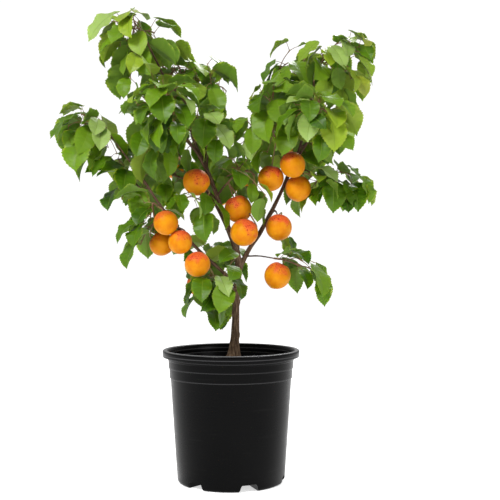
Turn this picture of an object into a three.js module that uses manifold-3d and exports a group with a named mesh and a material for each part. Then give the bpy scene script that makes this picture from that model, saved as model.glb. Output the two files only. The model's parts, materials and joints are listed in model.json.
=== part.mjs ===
// Apricot tree in a black nursery pot, in fruit. Millimetres, +Z up, +X to the right and +Y away
// from the viewer. The origin is the centre of the pot's flat underside.
import * as THREE from "three";
import { mergeVertices } from "three/addons/utils/BufferGeometryUtils.js";
import Module from "manifold-3d";

const wasm = await Module();
wasm.setup();

// Pot: a thin moulded shell with a rolled lip, three shallow ledges and six drain channels.
const POT_HEIGHT = 268;
const LIP_RADIUS = 140;
const LIP_HEIGHT = 14;
const LIP_ROLL = 4.5;
const COLLAR_RADIUS = 129;
const LEDGES = [
  { height: 206, below: 123.6, above: 124.7 },
  { height: 226, below: 125.8, above: 126.8 },
  { height: 244, below: 127.8, above: 128.6 },
];
const BASE_RADIUS = 109;
const BASE_CORNER = 7;
const POT_WALL = 2.2;
const POT_SIDES = 32;
const DRAINS = 6;
const DRAIN_TURN = THREE.MathUtils.degToRad(20.2);
const DRAIN_WIDTH = 27;
const DRAIN_HEIGHT = 13;
const DRAIN_INNER = 55;

// Potting mix: it fills the pot to a little under the lip and rises slightly to the trunk.
const MIX_TOP = 240;
const MIX_EDGE_DROP = 4;
const MIX_FLAT_RADIUS = 40;

// Wood: the flare at the trunk's foot fades out over FLARE_HEIGHT.
const TRUNK_RADIUS = 7.2;
const FLARE = 13.5;
const FLARE_HEIGHT = 24;
const CLEARANCE = 0.3;

// Twigs of a mass: one stem, with shoots spread around it that aim past SHOOT_REACH of the space.
const STEM_RADIUS = 2;
const STEM_SIDES = 4;
const STEM_ELBOW = 0.4;
const TWIG_RADIUS = 1.15;
const TWIG_SIDES = 3;
const TWIG_STEPS = 2;
const TWIG_MARGIN = 3;
const FIRST_SHOOT = 0.35;
const LAST_SHOOT = 0.95;
const SHOOT_REACH = 0.62;
const REACH_SPREAD = 0.3;
const SHOOT_LIFT = 0.35;
const SHOOT_RISE = 0.7;
const SHOOT_ARCH = 0.14;
const SHORTEST_SHOOT = 12;
const GOLDEN_TURN = Math.PI * (3 - Math.sqrt(5));

// Leaves: lengths in shares of the leaf's own length unless they are in millimetres.
const LEAF_LENGTH = 74;
const LENGTH_SPREAD = 0.28;
const LEAF_WIDTH = 0.8;
const LEAF_KEEL = 0.02;
const BLADE_RIM = [[0.2, 0.42], [0.58, 0.43]];
const BLADE_FOLD = 0.05;
const TIP_CURL = 0.08;
const TIP_LEAF_SCALE = 0.75;
const PETIOLE_LENGTH = 28;
const PETIOLE_SHORTEST = 0.6;
const PETIOLE_SPREAD = 0.9;
const PETIOLE_RADIUS = 0.5;
const PETIOLE_HEADING = { out: 0.8, along: 0.45, up: 0.35 };
const SHARPEST_BEND = -0.4;
const DROOP = 42;
const DROOP_BY_HEIGHT = 42;
const DROOP_SPREAD = 50;
const ROLL_SPREAD = 90;
const OUTWARD = 0.9;
const OUTWARD_SPREAD = 1.5;
const FACE_BIAS = 1.5;

// Where leaves may go: each has LEAF_TRIES tries, that shrink it by up to LEAF_SHRINK.
const FIRST_LEAF = { stem: 0.55, shoot: 0.3 };
const LEAVES_A_STEM = 2;
const LEAVES_A_SHOOT = 5;
const LAST_LEAF = 0.98;
const LEAF_TRIES = 40;
const TURN_A_TRY = 0.7;
const LEAF_SHRINK = 0.2;
const LEAF_SPACING = 22;
const LIMB_MARGIN = 7;
const FRUIT_MARGIN = 3;
const FRUIT_VIEW = 0.9;
const SPACE_GROWTH = 1.2;
const SPACE_MARGIN = 1;
const BEAD_SPACING = 4;
const BLADE_PLACES = [[0, 0], [0.15, 0.3], [0.35, 0.5], [0.55, 0.48], [0.75, 0.32], [1, 0]];

// Each limb leaves its parent at a share of the parent's length and tapers to its tip.
const LIMBS = [
  { name: "trunk", radii: [TRUNK_RADIUS, 7], sides: 8, steps: 8,
    points: [[4, 0, 234], [7, 0, 279], [9, 0, 318], [10, 0, 359], [12, 0, 400], [17, 0, 438]] },
  { name: "left_leader", on: "trunk", at: 0.99, radii: [5.9, 3], sides: 6, steps: 10,
    points: [[11, -6, 475], [-5, -16, 516], [-28, -24, 580], [-50, -22, 639], [-77, -10, 699],
      [-93, 14, 788]] },
  { name: "right_leader", on: "trunk", at: 0.97, radii: [5.2, 2.3], sides: 6, steps: 10,
    points: [[38, 4, 475], [63, 6, 512], [105, 10, 595], [140, 10, 679], [166, -6, 792]] },
  { name: "middle_leader", on: "left_leader", at: 0.14, radii: [3.8, 2], sides: 6, steps: 7,
    points: [[18, 16, 535], [37, 36, 596], [68, 60, 681], [84, 60, 782]] },
  { name: "lower_left_bough", on: "trunk", at: 0.82, radii: [4, 2], sides: 6, steps: 8,
    points: [[-14, -22, 425], [-76, -40, 483], [-138, -38, 556], [-182, -22, 621], [-218, -20, 668]] },
  { name: "upper_left_limb", on: "left_leader", at: 0.97, radii: [2.6, 1.8], sides: 5, steps: 4,
    points: [[-131, -10, 817], [-148, -22, 848], [-160, -32, 872]] },
  { name: "left_inner_limb", on: "left_leader", at: 0.7, radii: [2.5, 1.8], sides: 5, steps: 4,
    points: [[-44, 6, 706], [-32, 30, 750]] },
  { name: "left_outer_limb", on: "left_leader", at: 0.72, radii: [2.6, 1.8], sides: 5, steps: 4,
    points: [[-100, -32, 702], [-130, -42, 718]] },
  { name: "left_side_limb", on: "lower_left_bough", at: 0.72, radii: [2, 1.6], sides: 5, steps: 3,
    points: [[-182, -14, 596], [-200, 2, 612]] },
  { name: "left_middle_limb", on: "left_leader", at: 0.47, radii: [2.2, 1.6], sides: 5, steps: 4,
    points: [[-62, 8, 604], [-96, 34, 618]] },
  { name: "fruiting_limb_left", on: "lower_left_bough", at: 0.5, radii: [2.2, 1.6], sides: 5, steps: 3,
    points: [[-128, -54, 548], [-142, -58, 556]] },
  { name: "left_front_spur", on: "left_leader", at: 0.66, radii: [2.2, 1.6], sides: 5, steps: 3,
    points: [[-46, -36, 672], [-50, -44, 682]] },
  { name: "front_left_limb", on: "left_leader", at: 0.6, radii: [2.6, 1.7], sides: 5, steps: 4,
    points: [[-72, -68, 672], [-98, -108, 706]] },
  { name: "left_low_spur", on: "left_leader", at: 0.42, radii: [2.2, 1.6], sides: 5, steps: 3,
    points: [[-34, -38, 566], [-44, -46, 572]] },
  { name: "lowest_limb", on: "trunk", at: 0.74, radii: [2.4, 1.6], sides: 5, steps: 3,
    points: [[-4, -24, 398], [-16, -36, 404]] },
  { name: "centre_spur", on: "left_leader", at: 0.5, radii: [2.2, 1.6], sides: 5, steps: 3,
    points: [[-16, -36, 596], [-8, -38, 604]] },
  { name: "right_inner_limb", on: "right_leader", at: 0.66, radii: [2.2, 1.7], sides: 5, steps: 4,
    points: [[106, -12, 672], [94, -34, 692]] },
  { name: "right_outer_limb", on: "right_leader", at: 0.8, radii: [2.2, 1.6], sides: 5, steps: 3,
    points: [[160, 18, 696], [174, 26, 706]] },
  { name: "right_side_limb", on: "right_leader", at: 0.62, radii: [2.2, 1.6], sides: 5, steps: 4,
    points: [[146, 24, 636], [170, 22, 628]] },
  { name: "fruiting_spur_right", on: "right_leader", at: 0.67, radii: [1.9, 1.5], sides: 5, steps: 3,
    points: [[131, -2, 642], [135, -14, 636]] },
  { name: "low_fruiting_spur", on: "right_leader", at: 0.46, radii: [1.9, 1.5], sides: 5, steps: 3,
    points: [[94, 4, 560], [102, 0, 560]] },
  { name: "lower_right_limb", on: "right_leader", at: 0.12, radii: [1.8, 1.4], sides: 5, steps: 4,
    points: [[57, -8, 459], [90, -24, 454]] },
  { name: "rear_left_bough", on: "trunk", at: 0.93, radii: [4, 2], sides: 6, steps: 7,
    points: [[0, 50, 490], [-40, 108, 575], [-108, 136, 668]] },
  { name: "rear_middle_limb", on: "rear_left_bough", at: 0.4, radii: [2.6, 1.8], sides: 5, steps: 4,
    points: [[-8, 120, 590], [-24, 150, 636]] },
  { name: "rear_right_bough", on: "right_leader", at: 0.3, radii: [3.2, 1.9], sides: 6, steps: 6,
    points: [[90, 62, 585], [118, 116, 646], [138, 142, 690]] },
  { name: "rear_low_limb", on: "trunk", at: 0.76, radii: [2.2, 1.6], sides: 5, steps: 3,
    points: [[-8, 30, 410], [-32, 56, 424]] },
  { name: "front_right_limb", on: "right_leader", at: 0.74, radii: [2.4, 1.7], sides: 5, steps: 4,
    points: [[156, -44, 690], [164, -94, 704]] },
];

// Each mass of foliage grows from a limb's tip inside an ellipsoid of half sizes `size` at `centre`.
// `lean` places the end of its stem, in shares of the half sizes.
const MASSES = [
  { name: "foliage_top_left", on: "upper_left_limb", centre: [-202, -34, 890], size: [90, 64, 96],
    lean: [0.1, 0, 0.4], shoots: 5, seed: 11 },
  { name: "foliage_upper_left", on: "left_leader", centre: [-120, 36, 826], size: [62, 60, 80],
    lean: [0, 0, 0.3], shoots: 4, seed: 12 },
  { name: "foliage_left_inner", on: "left_inner_limb", centre: [-30, 52, 806], size: [54, 58, 72],
    lean: [0, 0, 0.2], shoots: 3, seed: 13 },
  { name: "foliage_far_left", on: "lower_left_bough", centre: [-300, -20, 694], size: [62, 62, 80],
    lean: [0.6, 0, 0.5], shoots: 4, seed: 14 },
  { name: "foliage_left_side", on: "left_side_limb", centre: [-212, 22, 600], size: [62, 60, 70],
    lean: [0.1, 0, 0.3], shoots: 4, seed: 15 },
  { name: "foliage_left_outer", on: "left_outer_limb", centre: [-165, -50, 722], size: [68, 60, 80],
    lean: [0, 0, 0.3], shoots: 4, seed: 16 },
  { name: "foliage_left_middle", on: "left_middle_limb", centre: [-150, 52, 622], size: [56, 54, 68],
    lean: [0.1, 0, 0.2], shoots: 3, seed: 36 },
  { name: "foliage_left_centre", on: "left_front_spur", centre: [-48, -66, 700], size: [60, 50, 70],
    lean: [0, 0, 0.3], shoots: 3, seed: 17 },
  { name: "foliage_front_left", on: "front_left_limb", centre: [-125, -144, 734], size: [66, 60, 68],
    lean: [0, 0, 0.3], shoots: 3, seed: 18 },
  { name: "foliage_lower_left", on: "fruiting_limb_left", centre: [-164, -48, 490], size: [66, 60, 84],
    lean: [0.2, 0, 0.4], shoots: 4, seed: 19 },
  { name: "foliage_left_low", on: "left_low_spur", centre: [-74, -56, 556], size: [56, 50, 66],
    lean: [0.2, 0, 0.1], shoots: 3, seed: 20 },
  { name: "foliage_lowest", on: "lowest_limb", centre: [-34, -42, 380], size: [74, 62, 84],
    lean: [0, 0, 0.25], shoots: 4, seed: 21 },
  { name: "foliage_centre", on: "centre_spur", centre: [34, -30, 618], size: [66, 56, 72],
    lean: [0, 0, 0.2], shoots: 3, seed: 22 },
  { name: "foliage_upper_middle", on: "middle_leader", centre: [122, 42, 852], size: [66, 60, 80],
    lean: [0, 0, 0.2], shoots: 4, seed: 23 },
  { name: "foliage_right_inner", on: "right_inner_limb", centre: [84, -52, 738], size: [58, 54, 84],
    lean: [0, 0, 0.2], shoots: 4, seed: 24 },
  { name: "foliage_top_right", on: "right_leader", centre: [228, -26, 850], size: [78, 62, 92],
    lean: [-0.1, 0, 0.3], shoots: 5, seed: 25 },
  { name: "foliage_right_outer", on: "right_outer_limb", centre: [206, 34, 704], size: [64, 60, 84],
    lean: [0, 0, 0.3], shoots: 5, seed: 26 },
  { name: "foliage_front_right", on: "front_right_limb", centre: [172, -138, 724], size: [62, 60, 70],
    lean: [0, 0, 0.3], shoots: 3, seed: 27 },
  { name: "foliage_right_side", on: "right_side_limb", centre: [206, 22, 606], size: [84, 60, 66],
    lean: [0.1, 0, 0.4], shoots: 5, seed: 28 },
  { name: "foliage_fruiting_right", on: "fruiting_spur_right", centre: [144, -52, 590], size: [48, 46, 62],
    lean: [0.1, 0.2, 0.5], shoots: 2, seed: 29 },
  { name: "foliage_low_fruit", on: "low_fruiting_spur", centre: [112, 6, 515], size: [44, 46, 46],
    lean: [0.2, 0, 0.1], shoots: 2, seed: 30 },
  { name: "foliage_lower_right", on: "lower_right_limb", centre: [148, -25, 420], size: [62, 54, 62],
    lean: [-0.1, 0, 0.3], shoots: 3, seed: 31 },
  { name: "foliage_rear_left", on: "rear_left_bough", centre: [-160, 148, 735], size: [80, 66, 84],
    lean: [0, 0, 0.2], shoots: 4, seed: 32 },
  { name: "foliage_rear_middle", on: "rear_middle_limb", centre: [-28, 160, 694], size: [74, 68, 84],
    lean: [0, 0, 0.2], shoots: 3, seed: 33 },
  { name: "foliage_rear_right", on: "rear_right_bough", centre: [145, 156, 738], size: [78, 68, 86],
    lean: [0, 0, 0.2], shoots: 3, seed: 34 },
  { name: "foliage_rear_low", on: "rear_low_limb", centre: [-60, 78, 440], size: [64, 60, 66],
    lean: [0, 0, 0.2], shoots: 3, seed: 35 },
];

// Each apricot hangs in a mass; `stalk` points from its centre to its stalk, and `open` apricots
// have no leaf in front of them.
const APRICOTS = [
  { mass: "foliage_right_inner", centre: [81, -20, 617], radius: 26.3, stalk: [0.1, 0, 1], open: true },
  { mass: "foliage_right_inner", centre: [124, -44, 642], radius: 25.4, stalk: [-0.5, 0.2, 1], open: true },
  { mass: "foliage_fruiting_right", centre: [137, -8, 597], radius: 26.1, stalk: [0, -0.1, 1], open: true },
  { mass: "foliage_left_low", centre: [-68, -54, 606], radius: 27.1, stalk: [0.7, 0.1, -0.5], open: true },
  { mass: "foliage_centre", centre: [15, -32, 554], radius: 26.7, stalk: [-0.4, 0, 1], open: true },
  { mass: "foliage_centre", centre: [27, -60, 506], radius: 27.2, stalk: [0.8, 0.5, 0.6], open: true },
  { mass: "foliage_lower_left", centre: [-127, -76, 525], radius: 24.2, stalk: [-0.3, 0.3, 1], open: true },
  { mass: "foliage_lower_left", centre: [-140, -30, 484], radius: 24.2, stalk: [-0.8, 0, 0.6], open: true },
  { mass: "foliage_lower_left", centre: [-99, -72, 487], radius: 23.3, stalk: [0.2, 0.5, 1], open: true },
  { mass: "foliage_lowest", centre: [-65, -70, 443], radius: 24.9, stalk: [0.6, 0.4, -0.2], open: true },
  { mass: "foliage_low_fruit", centre: [97, -24, 517], radius: 26.7, stalk: [0.2, 0.3, 1], open: true },
  { mass: "foliage_lower_right", centre: [94, -34, 420], radius: 26.2, stalk: [0.5, 0, 1], open: false },
  { mass: "foliage_rear_right", centre: [122, 78, 703], radius: 25.3, stalk: [0.2, 0.8, 0.4], open: false },
  { mass: "foliage_rear_left", centre: [-128, 168, 655], radius: 25.2, stalk: [0, 0, 1], open: false },
  { mass: "foliage_rear_middle", centre: [-30, 178, 596], radius: 26.4, stalk: [0, -0.3, 1], open: false },
  { mass: "foliage_rear_middle", centre: [22, 156, 622], radius: 24.6, stalk: [-0.5, 0, 1], open: false },
  { mass: "foliage_rear_right", centre: [150, 172, 646], radius: 25.8, stalk: [0, -0.2, 1], open: false },
  { mass: "foliage_rear_low", centre: [-72, 102, 398], radius: 25, stalk: [0, 0, 1], open: false },
];

const FRUIT_SIDES = 8;

const MATERIALS = {
  pot: new THREE.MeshStandardMaterial({ color: 0x17181a, roughness: 0.55, metalness: 0 }),
  mix: new THREE.MeshStandardMaterial({ color: 0x2c211a, roughness: 1, metalness: 0 }),
  bark: new THREE.MeshStandardMaterial({ color: 0x5b4a3d, roughness: 0.9, metalness: 0 }),
  leaf: new THREE.MeshStandardMaterial({ color: 0x5c7c28, roughness: 0.55, metalness: 0 }),
};

const UP = new THREE.Vector3(0, 0, 1);
const AHEAD = new THREE.Vector3(1, 0, 0);

function vector(values) {
  return new THREE.Vector3(values[0], values[1], values[2]);
}

// A seeded stream of numbers from 0 to 1.
function seeded(seed) {
  let state = seed;
  return () => {
    state = (state * 1664525 + 1013904223) % 4294967296;
    return state / 4294967296;
  };
}

// Solids for the joins and cuts.
function solidOf(geometry) {
  geometry.deleteAttribute("normal");
  geometry.deleteAttribute("uv");
  const merged = mergeVertices(geometry, 1e-4);
  const triVerts = new Uint32Array(merged.index.array);
  const vertProperties = merged.attributes.position.array;
  return new wasm.Manifold(new wasm.Mesh({ numProp: 3, vertProperties, triVerts }));
}

function geometryOf(solid) {
  const mesh = solid.getMesh();
  const geometry = new THREE.BufferGeometry();
  geometry.setAttribute("position", new THREE.BufferAttribute(mesh.vertProperties, 3));
  geometry.setIndex(new THREE.BufferAttribute(mesh.triVerts, 1));
  geometry.computeVertexNormals();
  return geometry;
}

// The biggest body of a solid: sealed hollows are filled and loose scraps dropped.
function wholeBody(solid) {
  let best = null;
  for (const body of solid.decompose()) {
    if (!best || body.volume() > best.volume()) {
      best = body;
    }
  }
  return best;
}

function polyhedron(points, faces) {
  const geometry = new THREE.BufferGeometry();
  const positions = points.flatMap((p) => [p.x, p.y, p.z]);
  geometry.setAttribute("position", new THREE.Float32BufferAttribute(positions, 3));
  geometry.setIndex(faces.flat());
  return geometry;
}

// Two directions square to a heading and to each other, that turn about it by the right hand.
function across(heading) {
  const reference = Math.abs(heading.z) > 0.9 ? AHEAD : UP;
  const side = new THREE.Vector3().crossVectors(heading, reference).normalize();
  const other = new THREE.Vector3().crossVectors(heading, side);
  return [side, other];
}

// A closed round tube along a curve, with its radius given for each share of the length.
function taperedTube(curve, steps, sides, radiusAt) {
  const frames = curve.computeFrenetFrames(steps, false);
  const points = [];
  const faces = [];
  for (let i = 0; i <= steps; i += 1) {
    const centre = curve.getPoint(i / steps);
    const tangent = curve.getTangent(i / steps);
    const side = frames.normals[i].clone().addScaledVector(tangent, -frames.normals[i].dot(tangent));
    side.normalize();
    const other = new THREE.Vector3().crossVectors(tangent, side);
    for (let j = 0; j < sides; j += 1) {
      const turn = (2 * Math.PI * j) / sides;
      const rim = centre.clone().addScaledVector(side, radiusAt(i / steps) * Math.cos(turn));
      points.push(rim.addScaledVector(other, radiusAt(i / steps) * Math.sin(turn)));
      if (i < steps) {
        const here = i * sides + j;
        const next = i * sides + ((j + 1) % sides);
        faces.push([here, next, next + sides], [here, next + sides, here + sides]);
      }
    }
  }
  const end = steps * sides;
  for (let j = 1; j < sides - 1; j += 1) {
    faces.push([0, j + 1, j], [end, end + j, end + j + 1]);
  }
  return polyhedron(points, faces);
}

// Pot and potting mix.
function potOutline() {
  const rise = LEDGES[0].height - BASE_CORNER;
  const outline = [new THREE.Vector2(0, 0), new THREE.Vector2(BASE_RADIUS - BASE_CORNER, 0)];
  for (const turn of [0.5]) {
    const angle = (turn * Math.PI) / 2;
    const out = BASE_RADIUS - BASE_CORNER * (1 - Math.sin(angle));
    outline.push(new THREE.Vector2(out, BASE_CORNER * (1 - Math.cos(angle))));
  }
  outline.push(new THREE.Vector2(BASE_RADIUS + (BASE_CORNER / rise) * 4, BASE_CORNER));
  for (const ledge of LEDGES) {
    outline.push(new THREE.Vector2(ledge.below, ledge.height));
    outline.push(new THREE.Vector2(ledge.above, ledge.height + 1));
  }
  const lipFoot = POT_HEIGHT - LIP_HEIGHT;
  outline.push(new THREE.Vector2(COLLAR_RADIUS, lipFoot));
  outline.push(new THREE.Vector2(LIP_RADIUS - 1, lipFoot));
  outline.push(new THREE.Vector2(LIP_RADIUS, POT_HEIGHT - LIP_ROLL));
  outline.push(new THREE.Vector2(LIP_RADIUS - LIP_ROLL * 0.3, POT_HEIGHT - LIP_ROLL * 0.3));
  outline.push(new THREE.Vector2(LIP_RADIUS - LIP_ROLL, POT_HEIGHT));
  return outline;
}

// The inside wall from the lip down to the floor, pulled in by `gap`.
function innerWall(gap) {
  const top = POT_HEIGHT - LIP_HEIGHT;
  return [
    new THREE.Vector2(COLLAR_RADIUS - POT_WALL - gap, top),
    new THREE.Vector2(LEDGES[1].below - POT_WALL - gap, LEDGES[1].height),
    new THREE.Vector2(LEDGES[0].below - POT_WALL - gap, LEDGES[0].height),
    new THREE.Vector2(BASE_RADIUS - POT_WALL - gap, BASE_CORNER + POT_WALL),
    new THREE.Vector2(BASE_RADIUS - BASE_CORNER - gap, POT_WALL + gap),
    new THREE.Vector2(0, POT_WALL + gap),
  ];
}

function turned(outline) {
  const geometry = new THREE.LatheGeometry(outline, POT_SIDES);
  geometry.rotateX(Math.PI / 2);
  return solidOf(geometry);
}

// A round-topped bar that runs outwards along one drain channel, swollen by `grow`.
function drainBar(turn, grow, length) {
  const half = DRAIN_WIDTH / 2 + grow;
  const shoulder = DRAIN_HEIGHT - DRAIN_WIDTH / 4;
  const arch = new THREE.Shape();
  arch.moveTo(-half, -5);
  arch.lineTo(half, -5);
  arch.lineTo(half, shoulder);
  arch.lineTo(half * 0.6, DRAIN_HEIGHT + grow);
  arch.lineTo(-half * 0.6, DRAIN_HEIGHT + grow);
  arch.lineTo(-half, shoulder);
  const bar = new THREE.ExtrudeGeometry(arch, { depth: length, bevelEnabled: false });
  bar.translate(0, 0, DRAIN_INNER - grow);
  bar.rotateX(Math.PI / 2);
  bar.rotateZ(turn);
  return solidOf(bar);
}

function drainTurns() {
  return Array.from({ length: DRAINS }, (_, k) => DRAIN_TURN + (k * 2 * Math.PI) / DRAINS);
}

function makePot() {
  const rim = new THREE.Vector2(COLLAR_RADIUS + 1.5, POT_HEIGHT);
  const rimFoot = new THREE.Vector2(COLLAR_RADIUS - POT_WALL + 1, POT_HEIGHT - 3);
  let pot = turned([...potOutline(), rim, rimFoot, ...innerWall(0)]);
  const inside = turned([...potOutline(), new THREE.Vector2(0, POT_HEIGHT)]);
  for (const turn of drainTurns()) {
    const roof = drainBar(turn, POT_WALL, BASE_RADIUS).intersect(inside);
    pot = pot.add(roof);
  }
  for (const turn of drainTurns()) {
    pot = pot.subtract(drainBar(turn, 0, BASE_RADIUS));
  }
  return wholeBody(pot);
}

function makeMix() {
  const wall = innerWall(CLEARANCE);
  const surfaceRadius = LEDGES[1].below - POT_WALL - CLEARANCE;
  const outline = [
    new THREE.Vector2(0, MIX_TOP),
    new THREE.Vector2(MIX_FLAT_RADIUS, MIX_TOP),
    new THREE.Vector2(surfaceRadius, MIX_TOP - MIX_EDGE_DROP),
    ...wall.slice(1),
  ];
  let mix = turned(outline.reverse());
  for (const turn of drainTurns()) {
    mix = mix.subtract(drainBar(turn, POT_WALL + CLEARANCE, BASE_RADIUS));
  }
  return wholeBody(mix);
}

// Limbs: the centreline starts on the parent's and the foot is cut to the parent's bark.
const limbs = new Map();

function limbRadius(limb, share) {
  const taper = THREE.MathUtils.lerp(limb.radii[0], limb.radii[1], share);
  if (limb.name !== "trunk") {
    return taper;
  }
  const height = Math.max(limb.curve.getPoint(share).z - MIX_TOP, 0);
  return taper + FLARE * Math.exp(-height / FLARE_HEIGHT);
}

function limbTube(limb, grow) {
  const radiusAt = (share) => limbRadius(limb, share) + grow;
  return solidOf(taperedTube(limb.curve, limb.steps, limb.sides, radiusAt));
}

function makeLimb(limb) {
  const points = limb.points.map(vector);
  if (limb.on) {
    points.unshift(limbs.get(limb.on).curve.getPoint(limb.at));
  }
  limb.curve = new THREE.CatmullRomCurve3(points, false, "catmullrom", 0.5);
  let solid = limbTube(limb, 0);
  for (const other of limbs.values()) {
    if (other.name === limb.on || other.on === limb.on) {
      solid = solid.subtract(other.grown);
    }
  }
  limb.solid = wholeBody(solid.trimByPlane([0, 0, 1], MIX_TOP + CLEARANCE));
  const last = limb.curve.getTangent(1).multiplyScalar(CLEARANCE);
  const grown = limbTube(limb, CLEARANCE);
  limb.grown = grown.add(grown.translate(last.x, last.y, last.z));
  limbs.set(limb.name, limb);
}

// Spheres along every limb stand for it when a leaf or twig is tested against the wood.
function limbBeads() {
  const beads = [];
  for (const limb of limbs.values()) {
    const count = Math.ceil(limb.curve.getLength() / BEAD_SPACING);
    for (let i = 0; i <= count; i += 1) {
      const centre = limb.curve.getPoint(i / count);
      const radius = limbRadius(limb, i / count);
      beads.push({ limb: limb.name, share: i / count, centre, radius });
    }
  }
  return beads;
}

// A mass's own space: its ellipsoid, less what lies nearer to another mass.
function inSpace(mass, point) {
  const offset = point.clone().sub(mass.middle);
  if (offset.clone().divide(mass.half).lengthSq() > 1) {
    return false;
  }
  for (const other of MASSES) {
    if (other !== mass) {
      const gap = mass.middle.distanceTo(other.middle);
      const own = offset.lengthSq() - mass.power;
      const theirs = point.distanceToSquared(other.middle) - other.power;
      if ((theirs - own) / (2 * gap) < SPACE_MARGIN) {
        return false;
      }
    }
  }
  return true;
}

function clearOfWood(point, beads, margin, ownLimb) {
  for (const bead of beads) {
    const near = margin + bead.radius;
    const skip = bead.limb === ownLimb && bead.share > 0.8;
    if (!skip && point.distanceToSquared(bead.centre) < near * near) {
      return false;
    }
  }
  return true;
}

function clearOfFruit(point) {
  for (const fruit of APRICOTS) {
    const near = fruit.radius + FRUIT_MARGIN;
    if (point.distanceToSquared(fruit.middle) < near * near) {
      return false;
    }
    const aside = Math.hypot(point.x - fruit.middle.x, point.z - fruit.middle.z);
    if (fruit.open && point.y < fruit.middle.y && aside < FRUIT_VIEW * fruit.radius) {
      return false;
    }
  }
  return true;
}

function makeTwig(points, radius, first, leaves) {
  const curve = new THREE.CatmullRomCurve3(points, false, "catmullrom", 0.5);
  return { curve, path: curve.getPoints(TWIG_STEPS), radius, first, leaves };
}

// The stem of a mass, from just past the limb's tip to its lean, and the shoots that leave it.
function growTwigs(mass, beads) {
  const draw = seeded(mass.seed);
  const limb = limbs.get(mass.on);
  const heading = limb.curve.getTangent(1);
  const foot = limb.curve.getPoint(1).addScaledVector(heading, CLEARANCE);
  const size = vector(mass.size);
  const end = vector(mass.lean).multiply(size).add(mass.middle);
  const elbow = foot.clone().addScaledVector(heading, foot.distanceTo(end) * STEM_ELBOW);
  mass.twigs = [makeTwig([foot, elbow, end], STEM_RADIUS, FIRST_LEAF.stem, LEAVES_A_STEM)];
  const stemPath = mass.twigs[0].path;
  const phase = draw() * 2 * Math.PI;
  for (let k = 0; k < mass.shoots; k += 1) {
    const from = onPath(stemPath, FIRST_SHOOT + ((LAST_SHOOT - FIRST_SHOOT) * (k + 1)) / mass.shoots);
    const height = 1 - (2 * (k + 0.5)) / mass.shoots;
    const ring = Math.sqrt(1 - height * height);
    const turn = phase + k * GOLDEN_TURN;
    const rise = SHOOT_LIFT + SHOOT_RISE * height;
    const aim = new THREE.Vector3(ring * Math.cos(turn), ring * Math.sin(turn), rise);
    const reach = SHOOT_REACH * (1 + REACH_SPREAD * (draw() - 0.5));
    const target = aim.multiply(size).multiplyScalar(reach).add(mass.middle);
    for (const pull of [1, 0.75, 0.56, 0.42]) {
      const end = from.clone().lerp(target, pull);
      const middle = from.clone().lerp(end, 0.5);
      middle.addScaledVector(UP, SHOOT_ARCH * from.distanceTo(end));
      const twig = makeTwig([from, middle, end], TWIG_RADIUS, FIRST_LEAF.shoot, LEAVES_A_SHOOT);
      if (twigFits(mass, twig.curve, beads)) {
        mass.twigs.push(twig);
        break;
      }
    }
  }
  for (const fruit of APRICOTS) {
    if (fruit.mass === mass.name) {
      mass.twigs.push(fruitTwig(mass, fruit));
    }
  }
}

function twigFits(mass, curve, beads) {
  if (curve.getLength() < SHORTEST_SHOOT) {
    return false;
  }
  for (const share of [0.25, 0.5, 0.75, 1]) {
    const point = curve.getPoint(share);
    const clear = clearOfWood(point, beads, TWIG_MARGIN, mass.on) && clearOfFruit(point);
    if (!clear || !inSpace(mass, point)) {
      return false;
    }
  }
  return true;
}

// A short twig from the nearest place on the stem into the stalk end of an apricot.
function fruitTwig(mass, fruit) {
  const stalk = vector(fruit.stalk).normalize();
  const end = fruit.middle.clone().addScaledVector(stalk, fruit.radius * 0.7);
  const outside = fruit.middle.clone().addScaledVector(stalk, fruit.radius + 5);
  let from = null;
  for (const share of [0.1, 0.3, 0.5, 0.7, 0.9]) {
    const point = onPath(mass.twigs[0].path, share);
    if (!from || point.distanceTo(outside) < from.distanceTo(outside)) {
      from = point;
    }
  }
  return makeTwig([from, outside, end], TWIG_RADIUS, 1, 0);
}

// The places on a blade that are tested: along the midrib and out to both margins.
function bladeSamples(leaf) {
  const samples = [];
  for (const [along, half] of BLADE_PLACES) {
    for (const share of half ? [-1, -0.5, 0, 0.5, 1] : [0]) {
      samples.push(onBlade(leaf, along, share * half));
    }
  }
  return samples;
}

// The place on a twig's straight stretches at a share of its length.
function onPath(path, share) {
  const steps = path.length - 1;
  const i = Math.min(Math.floor(share * steps), steps - 1);
  return path[i].clone().lerp(path[i + 1], share * steps - i);
}

// Two directions square to each other, turned by an angle from the first towards the second.
function turnedBy(first, second, angle) {
  const near = first.clone().multiplyScalar(Math.cos(angle)).addScaledVector(second, Math.sin(angle));
  const far = second.clone().multiplyScalar(Math.cos(angle)).addScaledVector(first, -Math.sin(angle));
  return [near, far];
}

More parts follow.
